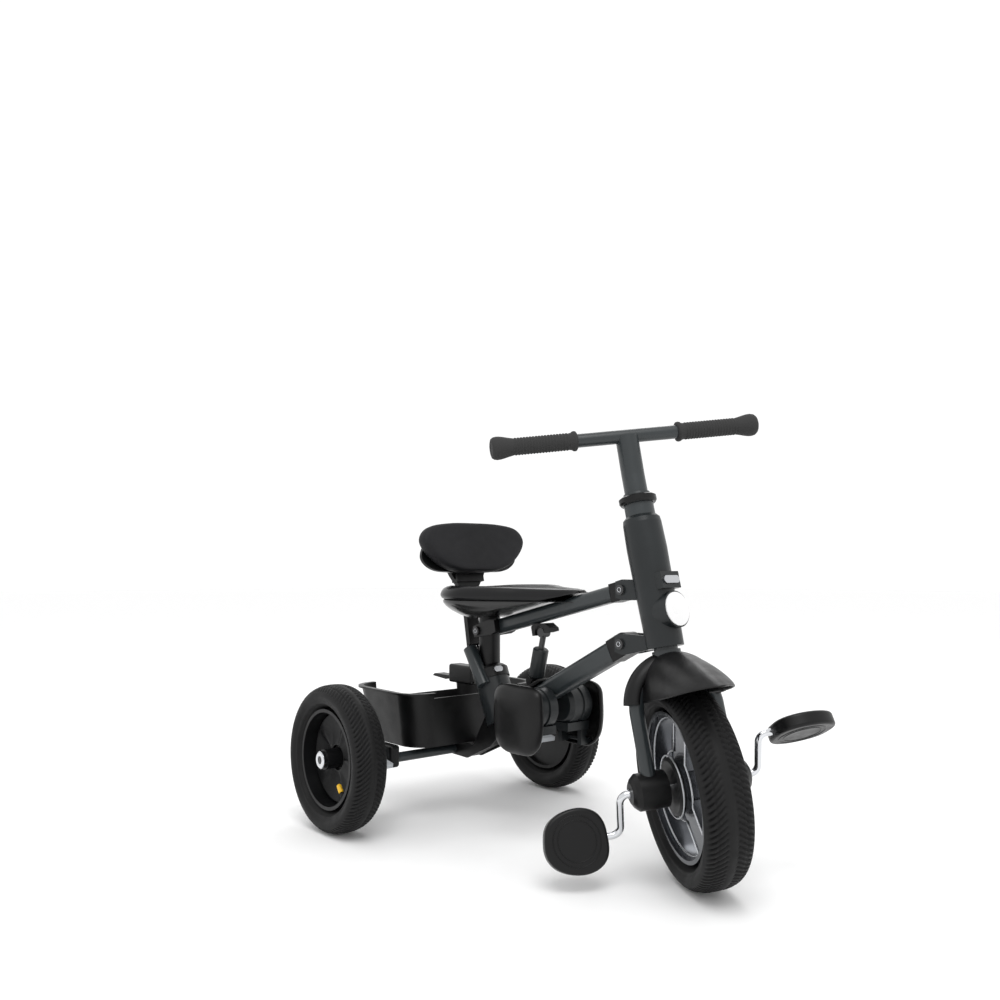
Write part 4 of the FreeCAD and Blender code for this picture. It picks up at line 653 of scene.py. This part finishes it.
@dataclass
class SeatCushion:
    """The moulded saddle pad: a grained top panel inside a smooth rolled edge.

    Attributes:
        rear: back of the seat, along X.
        length: seat length.
        half: widest half.
        top: height of the top.
        depth: thickness.
        bar_foot: point on the upper bar's centre line.
        bar_slope: rise of that line.
        bar_clear: height kept above the line.
    """

    rear: float
    length: float
    half: float
    top: float
    depth: float
    bar_foot: tuple[float, float] = (-0.161, 0.298)
    bar_slope: float = 0.2344
    bar_clear: float = 0.0145
    steps: int = 220

    @property
    def middle(self) -> Array:
        """The plan point that the rings are drawn in towards."""
        return np.array([self.rear + 0.42 * self.length, 0.0])

    def bar_line(self, ahead: Array) -> Array:
        """Height of the upper bar's centre line at a place along X."""
        return self.bar_foot[1] + (ahead - self.bar_foot[0]) * self.bar_slope

    def outline(self) -> Array:
        """Plan of the seat: broad behind and drawn in to a rounded nose."""
        side = np.array([(0.02, 0.62), (0.10, 0.90), (0.28, 1.0), (0.48, 0.80), (0.68, 0.47), (0.88, 0.24),
                         (0.985, 0.11)])
        right = side[::-1] * (1, -1)
        points = np.vstack([[(0.0, 0.0)], side, [(1.0, 0.0)], right])
        return closed_curve(points, self.steps) * (self.length, self.half) + (self.rear, 0.0)

    def build(self) -> bpy.types.Object:
        """Make the pad from rings of its outline, each drawn in by a share and lifted to its own height.

        From the middle the top dips slightly, drops into a seam, rises over a rolled edge and turns under;
        the underside stays above the bar, so the pad thins towards the nose.
        """
        outline = self.outline()
        rings = np.array([
            (0.0, -0.0030, 1), (0.25, -0.0028, 1), (0.50, -0.0020, 1), (0.68, -0.0012, 1),
            (0.745, -0.0010, 1), (0.760, -0.0024, 0.5), (0.775, -0.0012, 0), (0.82, -0.0001, 0),
            (0.87, -0.0002, 0), (0.915, -0.0016, 0), (0.955, -0.0046, 0), (0.985, -0.0088, 0),
            (0.998, -0.0130, 0), (1.0, -0.0160, 0), (0.985, -0.0195, 0), (0.955, -0.0216, 0),
            (0.90, -0.0220, 0), (0.0, -0.0220, 0),
        ])
        share, drop, skin = rings.T
        plan = self.middle + (outline[:, None] - self.middle) * share[None, :, None]
        bar = self.bar_line(plan[..., 0]) + self.bar_clear
        height = np.minimum(self.top, np.maximum(self.top + drop, bar))
        saddle = 0.003 * np.exp(-(plan[..., 1] / (0.6 * self.half)) ** 2) * (share < 0.95)
        rise = self.top - height
        height = height - saddle * np.clip(1 - rise / self.depth, 0, 1) * (np.arange(len(share)) < 10)
        height = np.maximum(height, np.minimum(bar, self.top))
        points = np.concatenate([plan, height[..., None]], axis=-1)
        piece = surface("seat_cushion", points, SEAT_SKIN, top=np.broadcast_to(skin, plan.shape[:2]))
        belongs(piece, "frame", "seat_top", "seat_pad")
        return piece


@dataclass
class SeatHull:
    """The seat's moulded underside, drawn in like a boat's hull down to the bar and the post."""

    seat: SeatCushion
    seam: float = 0.0225

    def build(self) -> bpy.types.Object:
        """Make the hull from rings of the outline, each drawn in and dropped but kept above the bar."""
        outline, middle = self.seat.outline(), self.seat.middle
        rings = np.array([
            (0.0, -0.0224), (0.9, -0.0224), (0.955, -0.0218), (0.968, -0.0240), (0.962, -0.0270),
            (0.93, -0.0320), (0.86, -0.0385), (0.74, -0.0460), (0.58, -0.0520), (0.40, -0.0560),
            (0.20, -0.0575), (0.0, -0.0575),
        ])
        share, drop = rings.T
        plan = middle + (outline[:, None] - middle) * share[None, :, None]
        height = self.seat.top + np.broadcast_to(drop, plan.shape[:2])
        bar = self.seat.bar_line(plan[..., 0])
        floor = np.minimum(bar + self.seat.bar_clear, self.seat.top - self.seam)
        points = np.concatenate([plan, np.maximum(height, floor)[..., None]], axis=-1)
        piece = surface("seat_hull", points, GLOSS_BLACK)
        return belongs(piece, "frame", "gloss_black", "seat_shell")


@dataclass
class BackrestPad:
    """The backrest's dark grey pad: softly dished in front, with a rounded rim."""

    middle: tuple[float, float, float] = (-0.197, 0.0, 0.431)
    lean: float = 12.0
    width: float = 0.208
    height: float = 0.082
    thickness: float = 0.024

    def build(self) -> bpy.types.Object:
        """Make the pad from rings of its outline, from the middle of the face round the rim to the back."""
        right = [(0.0, 1.0), (0.48, 0.97), (0.85, 0.80), (1.0, 0.38), (0.94, -0.10), (0.70, -0.66),
                 (0.38, -0.95)]
        left = [(-across, up) for across, up in right[:0:-1]]
        outline = closed_curve(np.array(right + [(0.0, -1.0)] + left), 200)
        outline = outline * (self.width / 2, self.height / 2)
        rings = np.array([
            (0.0, -0.0022), (0.3, -0.0019), (0.6, -0.0011), (0.80, -0.0003), (0.90, 0.0), (0.955, -0.0010),
            (0.985, -0.0034), (1.0, -0.0075), (1.0, -0.0165), (0.985, -0.0206), (0.95, -0.0234),
            (0.90, -0.024), (0.0, -0.024),
        ])
        share, drop = rings.T
        across = outline[:, None, 0] * share
        up = outline[:, None, 1] * share
        out = self.thickness / 2 + np.broadcast_to(drop, up.shape)
        turn = math.radians(self.lean)
        points = np.stack([self.middle[0] + out * math.cos(turn) - up * math.sin(turn),
                           across + self.middle[1],
                           self.middle[2] + out * math.sin(turn) + up * math.cos(turn)], axis=-1)
        piece = surface("backrest_cushion", points, BACKREST_SKIN)
        belongs(piece, "frame", "pad_fabric", "backrest_pad")
        return piece


# ---- steered pieces

@dataclass(frozen=True)
class SteeredFrame:
    """The turned fork's own directions: ahead, left and up the steering axis, from its foot."""

    foot: Array
    left: Array
    up: Array

    @property
    def ahead(self) -> Array:
        """The direction square to left and up."""
        return np.cross(self.left, self.up)

    def place(self, ahead: Array, left: Array, up: Array) -> Array:
        """Turn distances ahead, left and up into points."""
        return (self.foot + ahead[..., None] * self.ahead + left[..., None] * self.left
                + up[..., None] * self.up)


@dataclass
class FenderHood:
    """The front fender: a helmet-like dome drawn out to a nose, with half-pipe wings over the fork crown."""

    frame: SteeredFrame
    crown: float = 0.1655
    wall: float = 0.0024
    wing_reach: float = 0.0561
    wing_section: float = 0.0139
    wing_middle: float = 0.097

    def dome(self) -> bpy.types.Object:
        """Make the dome: the rim's plan points times a sine of a quarter turn, lifted by its cosine.

        Towards the nose the cosine gives way to one less the sine to the power 1.5, so the back of the
        dome is round and the nose runs out flat.
        """
        rim = np.array([
            (0.160, 0.0, 0.112), (0.152, 0.012, 0.1115), (0.128, 0.029, 0.110), (0.090, 0.040, 0.1075),
            (0.045, 0.0445, 0.106), (0.0, 0.0455, 0.106), (-0.042, 0.043, 0.106), (-0.072, 0.034, 0.105),
            (-0.087, 0.016, 0.104), (-0.090, 0.0, 0.104), (-0.087, -0.016, 0.104), (-0.072, -0.034, 0.105),
            (-0.042, -0.043, 0.106), (0.0, -0.0455, 0.106), (0.045, -0.0445, 0.106), (0.090, -0.040, 0.1075),
            (0.128, -0.029, 0.110), (0.152, -0.012, 0.1115),
        ])
        plan = closed_curve(rim[:, :2], 180)
        edge = closed_curve(rim[:, [2, 2]], 180)[:, :1]
        quarter = np.linspace(0, np.pi / 2, 30)[None, :]
        out = np.sin(quarter)
        nose = np.clip(plan[:, :1] / 0.16, 0, 1) ** 1.5
        lift = (1 - nose) * np.cos(quarter) + nose * (1 - out ** 1.5)
        ahead = 0.008 * (1 - out) + plan[:, :1] * out
        left = plan[:, 1:] * out
        up = edge + (self.crown - edge) * lift
        piece = surface("fender_dome", self.frame.place(ahead, left, up), BLACK_PLASTIC)
        self.thicken(piece)
        return belongs(piece, "fork", "black_plastic", "fender")

    def wings(self) -> bpy.types.Object:
        """Make the wings: a half round section carried over an arch from one fork leg to the other."""
        arch = np.radians(np.linspace(-82, 82, 70))[:, None]
        section = np.radians(np.linspace(-104, 104, 26))[None, :]
        reach = self.wing_reach + self.wing_section * np.cos(section)
        ahead = self.wing_section * np.sin(section) + 0 * arch
        left = reach * np.sin(arch)
        up = self.wing_middle + reach * np.cos(arch)
        piece = surface("fender_wings", self.frame.place(ahead, left, up), BLACK_PLASTIC, round_u=False)
        self.thicken(piece)
        return belongs(piece, "fork", "black_plastic")

    def thicken(self, piece: bpy.types.Object) -> None:
        """Give a sheet its wall on the side away from its normals."""
        wall = piece.modifiers.new("wall", "SOLIDIFY")
        wall.thickness = self.wall
        wall.offset = -1.0

    def build(self) -> list[bpy.types.Object]:
        """Make the dome and the wings."""
        return [self.dome(), self.wings()]


@dataclass
class Grip:
    """A ribbed rubber grip with a small flange and a pear-shaped end."""

    node: str
    frame: SteeredFrame
    side: int
    height: float = 0.4626
    offset: float = 0.004
    inner: float = 0.072

    def build(self) -> bpy.types.Object:
        """Make the grip from its profile: the sleeve's radius ripples by a sine of the distance along it."""
        along = np.linspace(0.0115, 0.088, 160)
        ribs = np.stack([0.0117 + 0.00045 * np.sin(2 * np.pi * along / 0.0042), along], axis=-1)
        start = np.array([(0, 0), (0.0118, 0), (0.0136, 0.0012), (0.0140, 0.0030), (0.0136, 0.0050),
                          (0.0122, 0.0068), (0.0116, 0.0095)])
        end = np.array([(0.0121, 0.0905), (0.0131, 0.0955), (0.0146, 0.1015), (0.0156, 0.1070),
                        (0.0158, 0.1115), (0.0150, 0.1155), (0.0132, 0.1180), (0.0100, 0.1190),
                        (0.0092, 0.1182), (0, 0.1182)])
        profile = np.vstack([start, ribs, end])
        reach = np.array(self.side * self.inner)
        foot = self.frame.place(np.array(self.offset), reach, np.array(self.height))
        axis = Axis(foot, self.frame.left * self.side)
        piece = turned(self.node + "_ribbed", axis, profile, GRIP_RUBBER, 64)
        return belongs(piece, "fork", "grip_rubber", self.node)


@dataclass
class HexSockets:
    """Small six-sided sockets in the ends of the pivot bolts, lying just proud of each head."""

    places: tuple[tuple[float, float, float, str], ...]
    radius: float = 0.0034

    def build(self) -> list[bpy.types.Object]:
        """Make a raised ring with six corners on both ends of each bolt."""
        pieces = []
        for count, (ahead, height, half, body) in enumerate(self.places):
            for side in (-1, 1):
                around = np.linspace(0, 2 * np.pi, 6, endpoint=False)
                axis = Axis(np.array([ahead, side * half, height]), np.array([0.0, 1.0, 0.0]))
                path = axis.place(np.full(6, self.radius), around, np.zeros(6))
                piece = rod(f"bolt_socket_{count + 1}_{'ab'[side > 0]}", path, axis.along, 0.0006, SILVER, 6)
                pieces.append(belongs(piece, body, "silver"))
        return pieces


@dataclass
class FootrestCover:
    """A footrest's smooth crowned outer cover, hanging below its drum."""

    node: str
    body: str
    side: int

    def build(self) -> bpy.types.Object:
        """Make the cover from rings of a rounded shield, each drawn in and set towards the middle plane.

        The outer face bulges by the square of the distance from its middle; the rim turns in and back to
        the flat inner face.
        """
        low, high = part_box(self.node)
        shield = np.array([(0.0, 1.0), (0.62, 0.98), (0.93, 0.80), (1.0, 0.35), (0.99, -0.20), (0.86, -0.66),
                           (0.52, -0.95), (0.0, -1.0), (-0.52, -0.97), (-0.88, -0.72), (-1.0, -0.20),
                           (-1.0, 0.35), (-0.93, 0.80), (-0.62, 0.98)])
        half = np.array([high[0] - low[0], high[2] - low[2]]) / 2
        middle = np.array([high[0] + low[0], high[2] + low[2]]) / 2
        outline = closed_curve(shield, 140) * half * (1.07, 0.985)
        outer = high[1] if self.side > 0 else low[1]
        depth = abs(high[1] - low[1])
        rings = np.array([
            (0.0, 0.0), (0.3, 0.0006), (0.55, 0.0020), (0.74, 0.0042), (0.87, 0.0072), (0.95, 0.0108),
            (0.985, 0.0140), (1.0, depth * 0.88), (0.985, depth - 0.0004), (0.955, depth),
            (0.93, depth - 0.0030), (0.90, depth * 0.55), (0.60, depth * 0.38), (0.0, depth * 0.34),
        ])
        share, back = rings.T
        plan = middle + outline[:, None] * share[None, :, None]
        across = np.broadcast_to(outer - self.side * back, plan.shape[:2])
        points = np.stack([plan[..., 0], across, plan[..., 1]], axis=-1)
        piece = surface(self.node + "_cover", points, BLACK_PLASTIC)
        return belongs(piece, self.body, "black_plastic", self.node)


# ---- small pieces

@dataclass
class AxleNut:
    """A flat chrome ring with a dark middle, on a rear axle cap."""

    name: str
    body: str
    axis: Axis
    face: float

    def build(self) -> list[bpy.types.Object]:
        """Make the outer ring and the middle as turned pieces standing off the cap's face."""
        ring = np.array([(0.0058, 0.0), (0.0125, 0.0), (0.0125, 0.0006), (0.0105, 0.0012), (0.0062, 0.0012)])
        core = np.array([(0.0, 0.0), (0.0056, 0.0), (0.0056, 0.0004), (0.0, 0.0004)])
        foot = Axis(self.axis.centre + self.axis.along * self.face, self.axis.along)
        pieces = [turned(self.name + "_ring", foot, ring, CHROME, 48, ring=True),
                  turned(self.name + "_middle", foot, core, BOLT_STEEL, 48)]
        for piece in pieces:
            belongs(piece, self.body, "chrome")
        return pieces


@dataclass
class RimDish:
    """The dished web of a rear wheel: five shallow ribs between hub and rim, on the outer side."""

    name: str
    body: str
    axis: Axis
    inner: float = 0.019
    outer: float = 0.066
    floor: float = -0.0057
    ribs: int = 5
    bowl: float = 0.0216
    rise: float = 0.0045

    def build(self) -> bpy.types.Object:
        """Make the dish: its height is a bowl of the radius plus five smooth ribs round the axle."""
        angle = np.linspace(0, 2 * np.pi, 240, endpoint=False)[:, None]
        share = np.linspace(0, 1, 40)[None, :]
        radius = self.inner + (self.outer - self.inner) * share + 0 * angle
        rib = np.exp(-((((angle / (2 * np.pi) * self.ribs) % 1.0) - 0.5) / 0.12) ** 2)
        height = self.floor + self.bowl * (share - 0.5) ** 2 + self.rise * rib * np.sin(np.pi * share)
        bottom = np.full_like(height[:, :1], self.floor)
        radius = np.concatenate([radius[:, :1], radius, radius[:, -1:]], axis=1)
        height = np.concatenate([bottom, height, bottom], axis=1)
        points = self.axis.place(radius, angle + 0 * radius, height)
        piece = surface(self.name, points, RIM_DARK, round_v=True)
        return belongs(piece, self.body, "rim_dark")


@dataclass
class PedalRings:
    """Raised rings on both faces of a pedal, placed by the pedal's own shape."""

    node: str
    body: str
    radii: tuple[float, ...] = (0.0305, 0.0245)
    sunk: float = 0.0001

    def axis(self, node: bpy.types.Object) -> tuple[Axis, float]:
        """Find the pedal's middle, the direction its points spread least in, and half its thickness."""
        points = np.empty(len(node.data.vertices) * 3)
        node.data.vertices.foreach_get("co", points)
        points = points.reshape(-1, 3)
        centre = (points.max(axis=0) + points.min(axis=0)) / 2
        spread = np.linalg.svd(points - points.mean(axis=0), full_matrices=False)[2]
        normal = spread[2]
        reach = (points - centre) @ normal
        centre = centre + normal * (reach.max() + reach.min()) / 2
        return Axis(centre, normal), float(reach.max() - reach.min()) / 2

    def build(self, node: bpy.types.Object) -> list[bpy.types.Object]:
        """Make the rings of both faces."""
        axis, half = self.axis(node)
        pieces = []
        for side in (-1, 1):
            for count, radius in enumerate(self.radii):
                around = np.linspace(0, 2 * np.pi, 96, endpoint=False)
                level = np.full_like(around, side * (half - self.sunk))
                path = axis.place(np.full_like(around, radius), around, level)
                piece = rod(f"{self.node}_ring_{count + 1}_{'ab'[side > 0]}", path, axis.along, 0.0007,
                            BLACK_PLASTIC, 8)
                pieces.append(belongs(piece, self.body, "black_plastic"))
        return pieces


@dataclass
class Valve:
    """A tyre valve with its coloured cap, standing on a rim towards the axle."""

    name: str
    body: str
    wheel: Axis
    rim: float
    turn: float
    offset: float

    def build(self) -> list[bpy.types.Object]:
        """Make the stem and the cap as turned pieces on one line towards the axle."""
        side, up = self.wheel.across
        inward = -(math.cos(self.turn) * side + math.sin(self.turn) * up)
        foot = self.wheel.centre + self.offset * self.wheel.along - inward * self.rim
        line = Axis(foot, inward)
        stem = np.array([(0, -0.001), (0.0042, -0.001), (0.0036, 0.010), (0.0026, 0.013), (0, 0.013)])
        cap = np.array([(0, 0.0125), (0.0038, 0.0125), (0.0040, 0.014), (0.0036, 0.024), (0.0026, 0.0255),
                        (0, 0.0255)])
        pieces = [turned(self.name + "_stem", line, stem, TYRE_RUBBER, 24),
                  turned(self.name + "_cap", line, cap, VALVE_YELLOW, 24)]
        for piece in pieces:
            belongs(piece, self.body, "tyre")
        return pieces


# ---- stage

@dataclass
class Studio:
    """Pale floor, soft light and the camera."""

    eye: tuple[float, float, float] = (0.9891, -0.9272, 0.40555)
    ahead: tuple[float, float, float] = (-0.7678, 0.6368, 0.0699)
    lens: float = 32.617
    target: tuple[float, float, float] = (0.0, 0.0, 0.25)
    sky_strength: float = 1.06

    def floor(self) -> bpy.types.Object:
        """A wide pale floor, a flat disc out to its edge."""
        angle = np.linspace(0, 2 * np.pi, 128, endpoint=False)[:, None]
        radius = np.array([0.0, 2.0, 6.0, 14.0])[None, :]
        grid = np.stack([radius * np.cos(angle), radius * np.sin(angle), 0 * angle + 0 * radius], axis=-1)
        pale = Finish("pale_floor", (0.93, 0.93, 0.93), 0.8, grain=Grain.SATIN, tint=0.02, specular=0.1)
        piece = surface("floor", grid, pale)
        if piece.data.polygons[0].normal.z < 0:
            piece.data.flip_normals()
        return piece

    def light(self, name: str, place: tuple[float, float, float], size: float, power: float) -> None:
        """Add a square soft light that points at the tricycle."""
        lamp = bpy.data.lights.new(name, "AREA")
        lamp.size = size
        lamp.energy = power
        holder = bpy.data.objects.new(name, lamp)
        holder.location = place
        towards = Vector(self.target) - Vector(place)
        holder.rotation_euler = towards.to_track_quat("-Z", "Y").to_euler()
        bpy.context.scene.collection.objects.link(holder)

    def sky(self) -> None:
        """An even white surround."""
        world = bpy.data.worlds.new("studio")
        world.use_nodes = True
        background = world.node_tree.nodes["Background"]
        background.inputs["Color"].default_value = (1, 1, 1, 1)
        background.inputs["Strength"].default_value = self.sky_strength
        bpy.context.scene.world = world

    def camera(self) -> None:
        """Set the camera at its eye point."""
        data = bpy.data.cameras.new("camera")
        data.lens = self.lens
        data.sensor_width = 36.0
        holder = bpy.data.objects.new("camera", data)
        ahead = Vector(self.ahead).normalized()
        right = ahead.cross(Vector((0, 0, 1))).normalized()
        up = right.cross(ahead)
        turn = Matrix((right, up, -ahead)).transposed().to_4x4()
        holder.matrix_world = Matrix.Translation(self.eye) @ turn
        bpy.context.scene.collection.objects.link(holder)
        bpy.context.scene.camera = holder

    def build(self) -> None:
        """Make the floor, the lights, the surround and the camera."""
        self.floor()
        self.light("key", (1.1, -0.9, 2.6), 1.5, 30.0)
        self.light("fill", (-1.5, 1.6, 2.2), 1.3, 9.0)
        self.sky()
        self.camera()
        bpy.context.scene.view_settings.view_transform = "Standard"


# ---- the whole

def joint_axis(frame: dict, name: str) -> Axis:
    """A joint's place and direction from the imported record."""
    joint = next(j for j in frame["record"]["behaviour"]["joints"] if j["name"] == name)
    return Axis(np.array(joint["pos_m"]), unit(np.array(joint["axis"])))


def steered_frame(frame: dict) -> SteeredFrame:
    """The turned fork's own directions, from the steering axis and the front axle."""
    steering = joint_axis(frame, "steering")
    return SteeredFrame(steering.centre, joint_axis(frame, "front_wheel_spin").along, steering.along)


def dress_nodes(frame: dict) -> None:
    """Give every CAD node the finish of its material slot."""
    for part in frame["record"]["subparts"]:
        node = frame["nodes"][part["node"]]
        node.data.materials.clear()
        finish = NODE_FINISH.get(part["node"], SLOT_FINISH[part["material_slot"]])
        node.data.materials.append(finish.material())


# Pivot bolts: ahead, height, half width and body.
PIVOT_BOLTS = (
    (-0.161, 0.298, 0.0248, "frame"),
    (-0.088, 0.1786, 0.0198, "frame"),
    (0.1466, 0.3701, 0.0198, "head"),
    (0.1444, 0.2971, 0.0198, "head"),
)


def build_wheels(frame: dict) -> list[bpy.types.Object]:
    """Make the tyres and the front wheel's trims, and return them.

    Args:
        frame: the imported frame.

    Returns:
        The pieces made.
    """
    front = joint_axis(frame, "front_wheel_spin")
    pieces = [TreadedTyre("front_tyre", "front_wheel", front, radius=0.127, width=0.0616, seat=0.0935,
                          seat_width=0.0442, blocks=104).build()]
    for name in ("left", "right"):
        wheel = joint_axis(frame, f"rear_wheel_{name}_spin")
        tyre = TreadedTyre(f"rear_tyre_{name}", f"rear_wheel_{name}", wheel, radius=0.1101, width=0.0555,
                           seat=0.0745, seat_width=0.039, blocks=92)
        pieces.append(tyre.build())
    ahead = steered_frame(frame).ahead
    side, up = front.across
    first = math.atan2(float(ahead @ up), float(ahead @ side))
    return pieces + FrontWheelTrim(front).build(first)


def build_steered(frame: dict) -> list[bpy.types.Object]:
    """Make the fender and the grips, and return them.

    Args:
        frame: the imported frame.

    Returns:
        The pieces made.
    """
    steered = steered_frame(frame)
    pieces = FenderHood(steered).build()
    pieces.append(Grip("grip_left", steered, 1).build())
    pieces.append(Grip("grip_right", steered, -1).build())
    return pieces


def build_rider_places() -> list[bpy.types.Object]:
    """Make the footrests, seat and backrest, and return them."""
    pieces = [FootrestCover("footrest_left", "footrest_left_body", 1).build(),
              FootrestCover("footrest_right", "footrest_right_body", -1).build()]
    low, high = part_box("seat_pad")
    seat = SeatCushion(low[0], high[0] - low[0], (high[1] - low[1]) / 2, high[2], 0.022)
    return pieces + [seat.build(), SeatHull(seat).build(), BackrestPad().build()]


def build_small(frame: dict) -> list[bpy.types.Object]:
    """Make the bolt sockets, pedal rings, rear dishes, axle nuts and valve, and return them.

    Args:
        frame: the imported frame.

    Returns:
        The pieces made.
    """
    pieces = HexSockets(PIVOT_BOLTS).build()
    for name in ("left", "right"):
        node = f"pedal_{name}"
        pieces += PedalRings(node, node + "_body").build(frame["nodes"][node])
    left = joint_axis(frame, "rear_wheel_left_spin")
    right = joint_axis(frame, "rear_wheel_right_spin")
    cap_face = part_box("rear_axle_caps")[1][1] - left.centre[1]
    for name, wheel, sign in (("left", left, 1), ("right", right, -1)):
        outward = Axis(wheel.centre, wheel.along * sign)
        pieces.append(RimDish("rear_dish_" + name, "rear_wheel_" + name, outward).build())
        pieces += AxleNut("axle_nut_" + name, "frame", outward, cap_face).build()
    return pieces + Valve("rear_valve_right", "rear_wheel_right", right, rim=0.0695,
                          turn=math.radians(-50), offset=-0.012).build()


def main() -> None:
    """Build and dress the tricycle, then the studio."""
    logging.basicConfig(level=logging.INFO, format="%(message)s")
    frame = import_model()
    dress_nodes(frame)
    pieces = build_wheels(frame) + build_steered(frame) + build_rider_places() + build_small(frame)
    for piece in pieces:
        LOG.info("piece %s", piece.name)
    Studio().build()


if __name__ == "__main__":
    main()
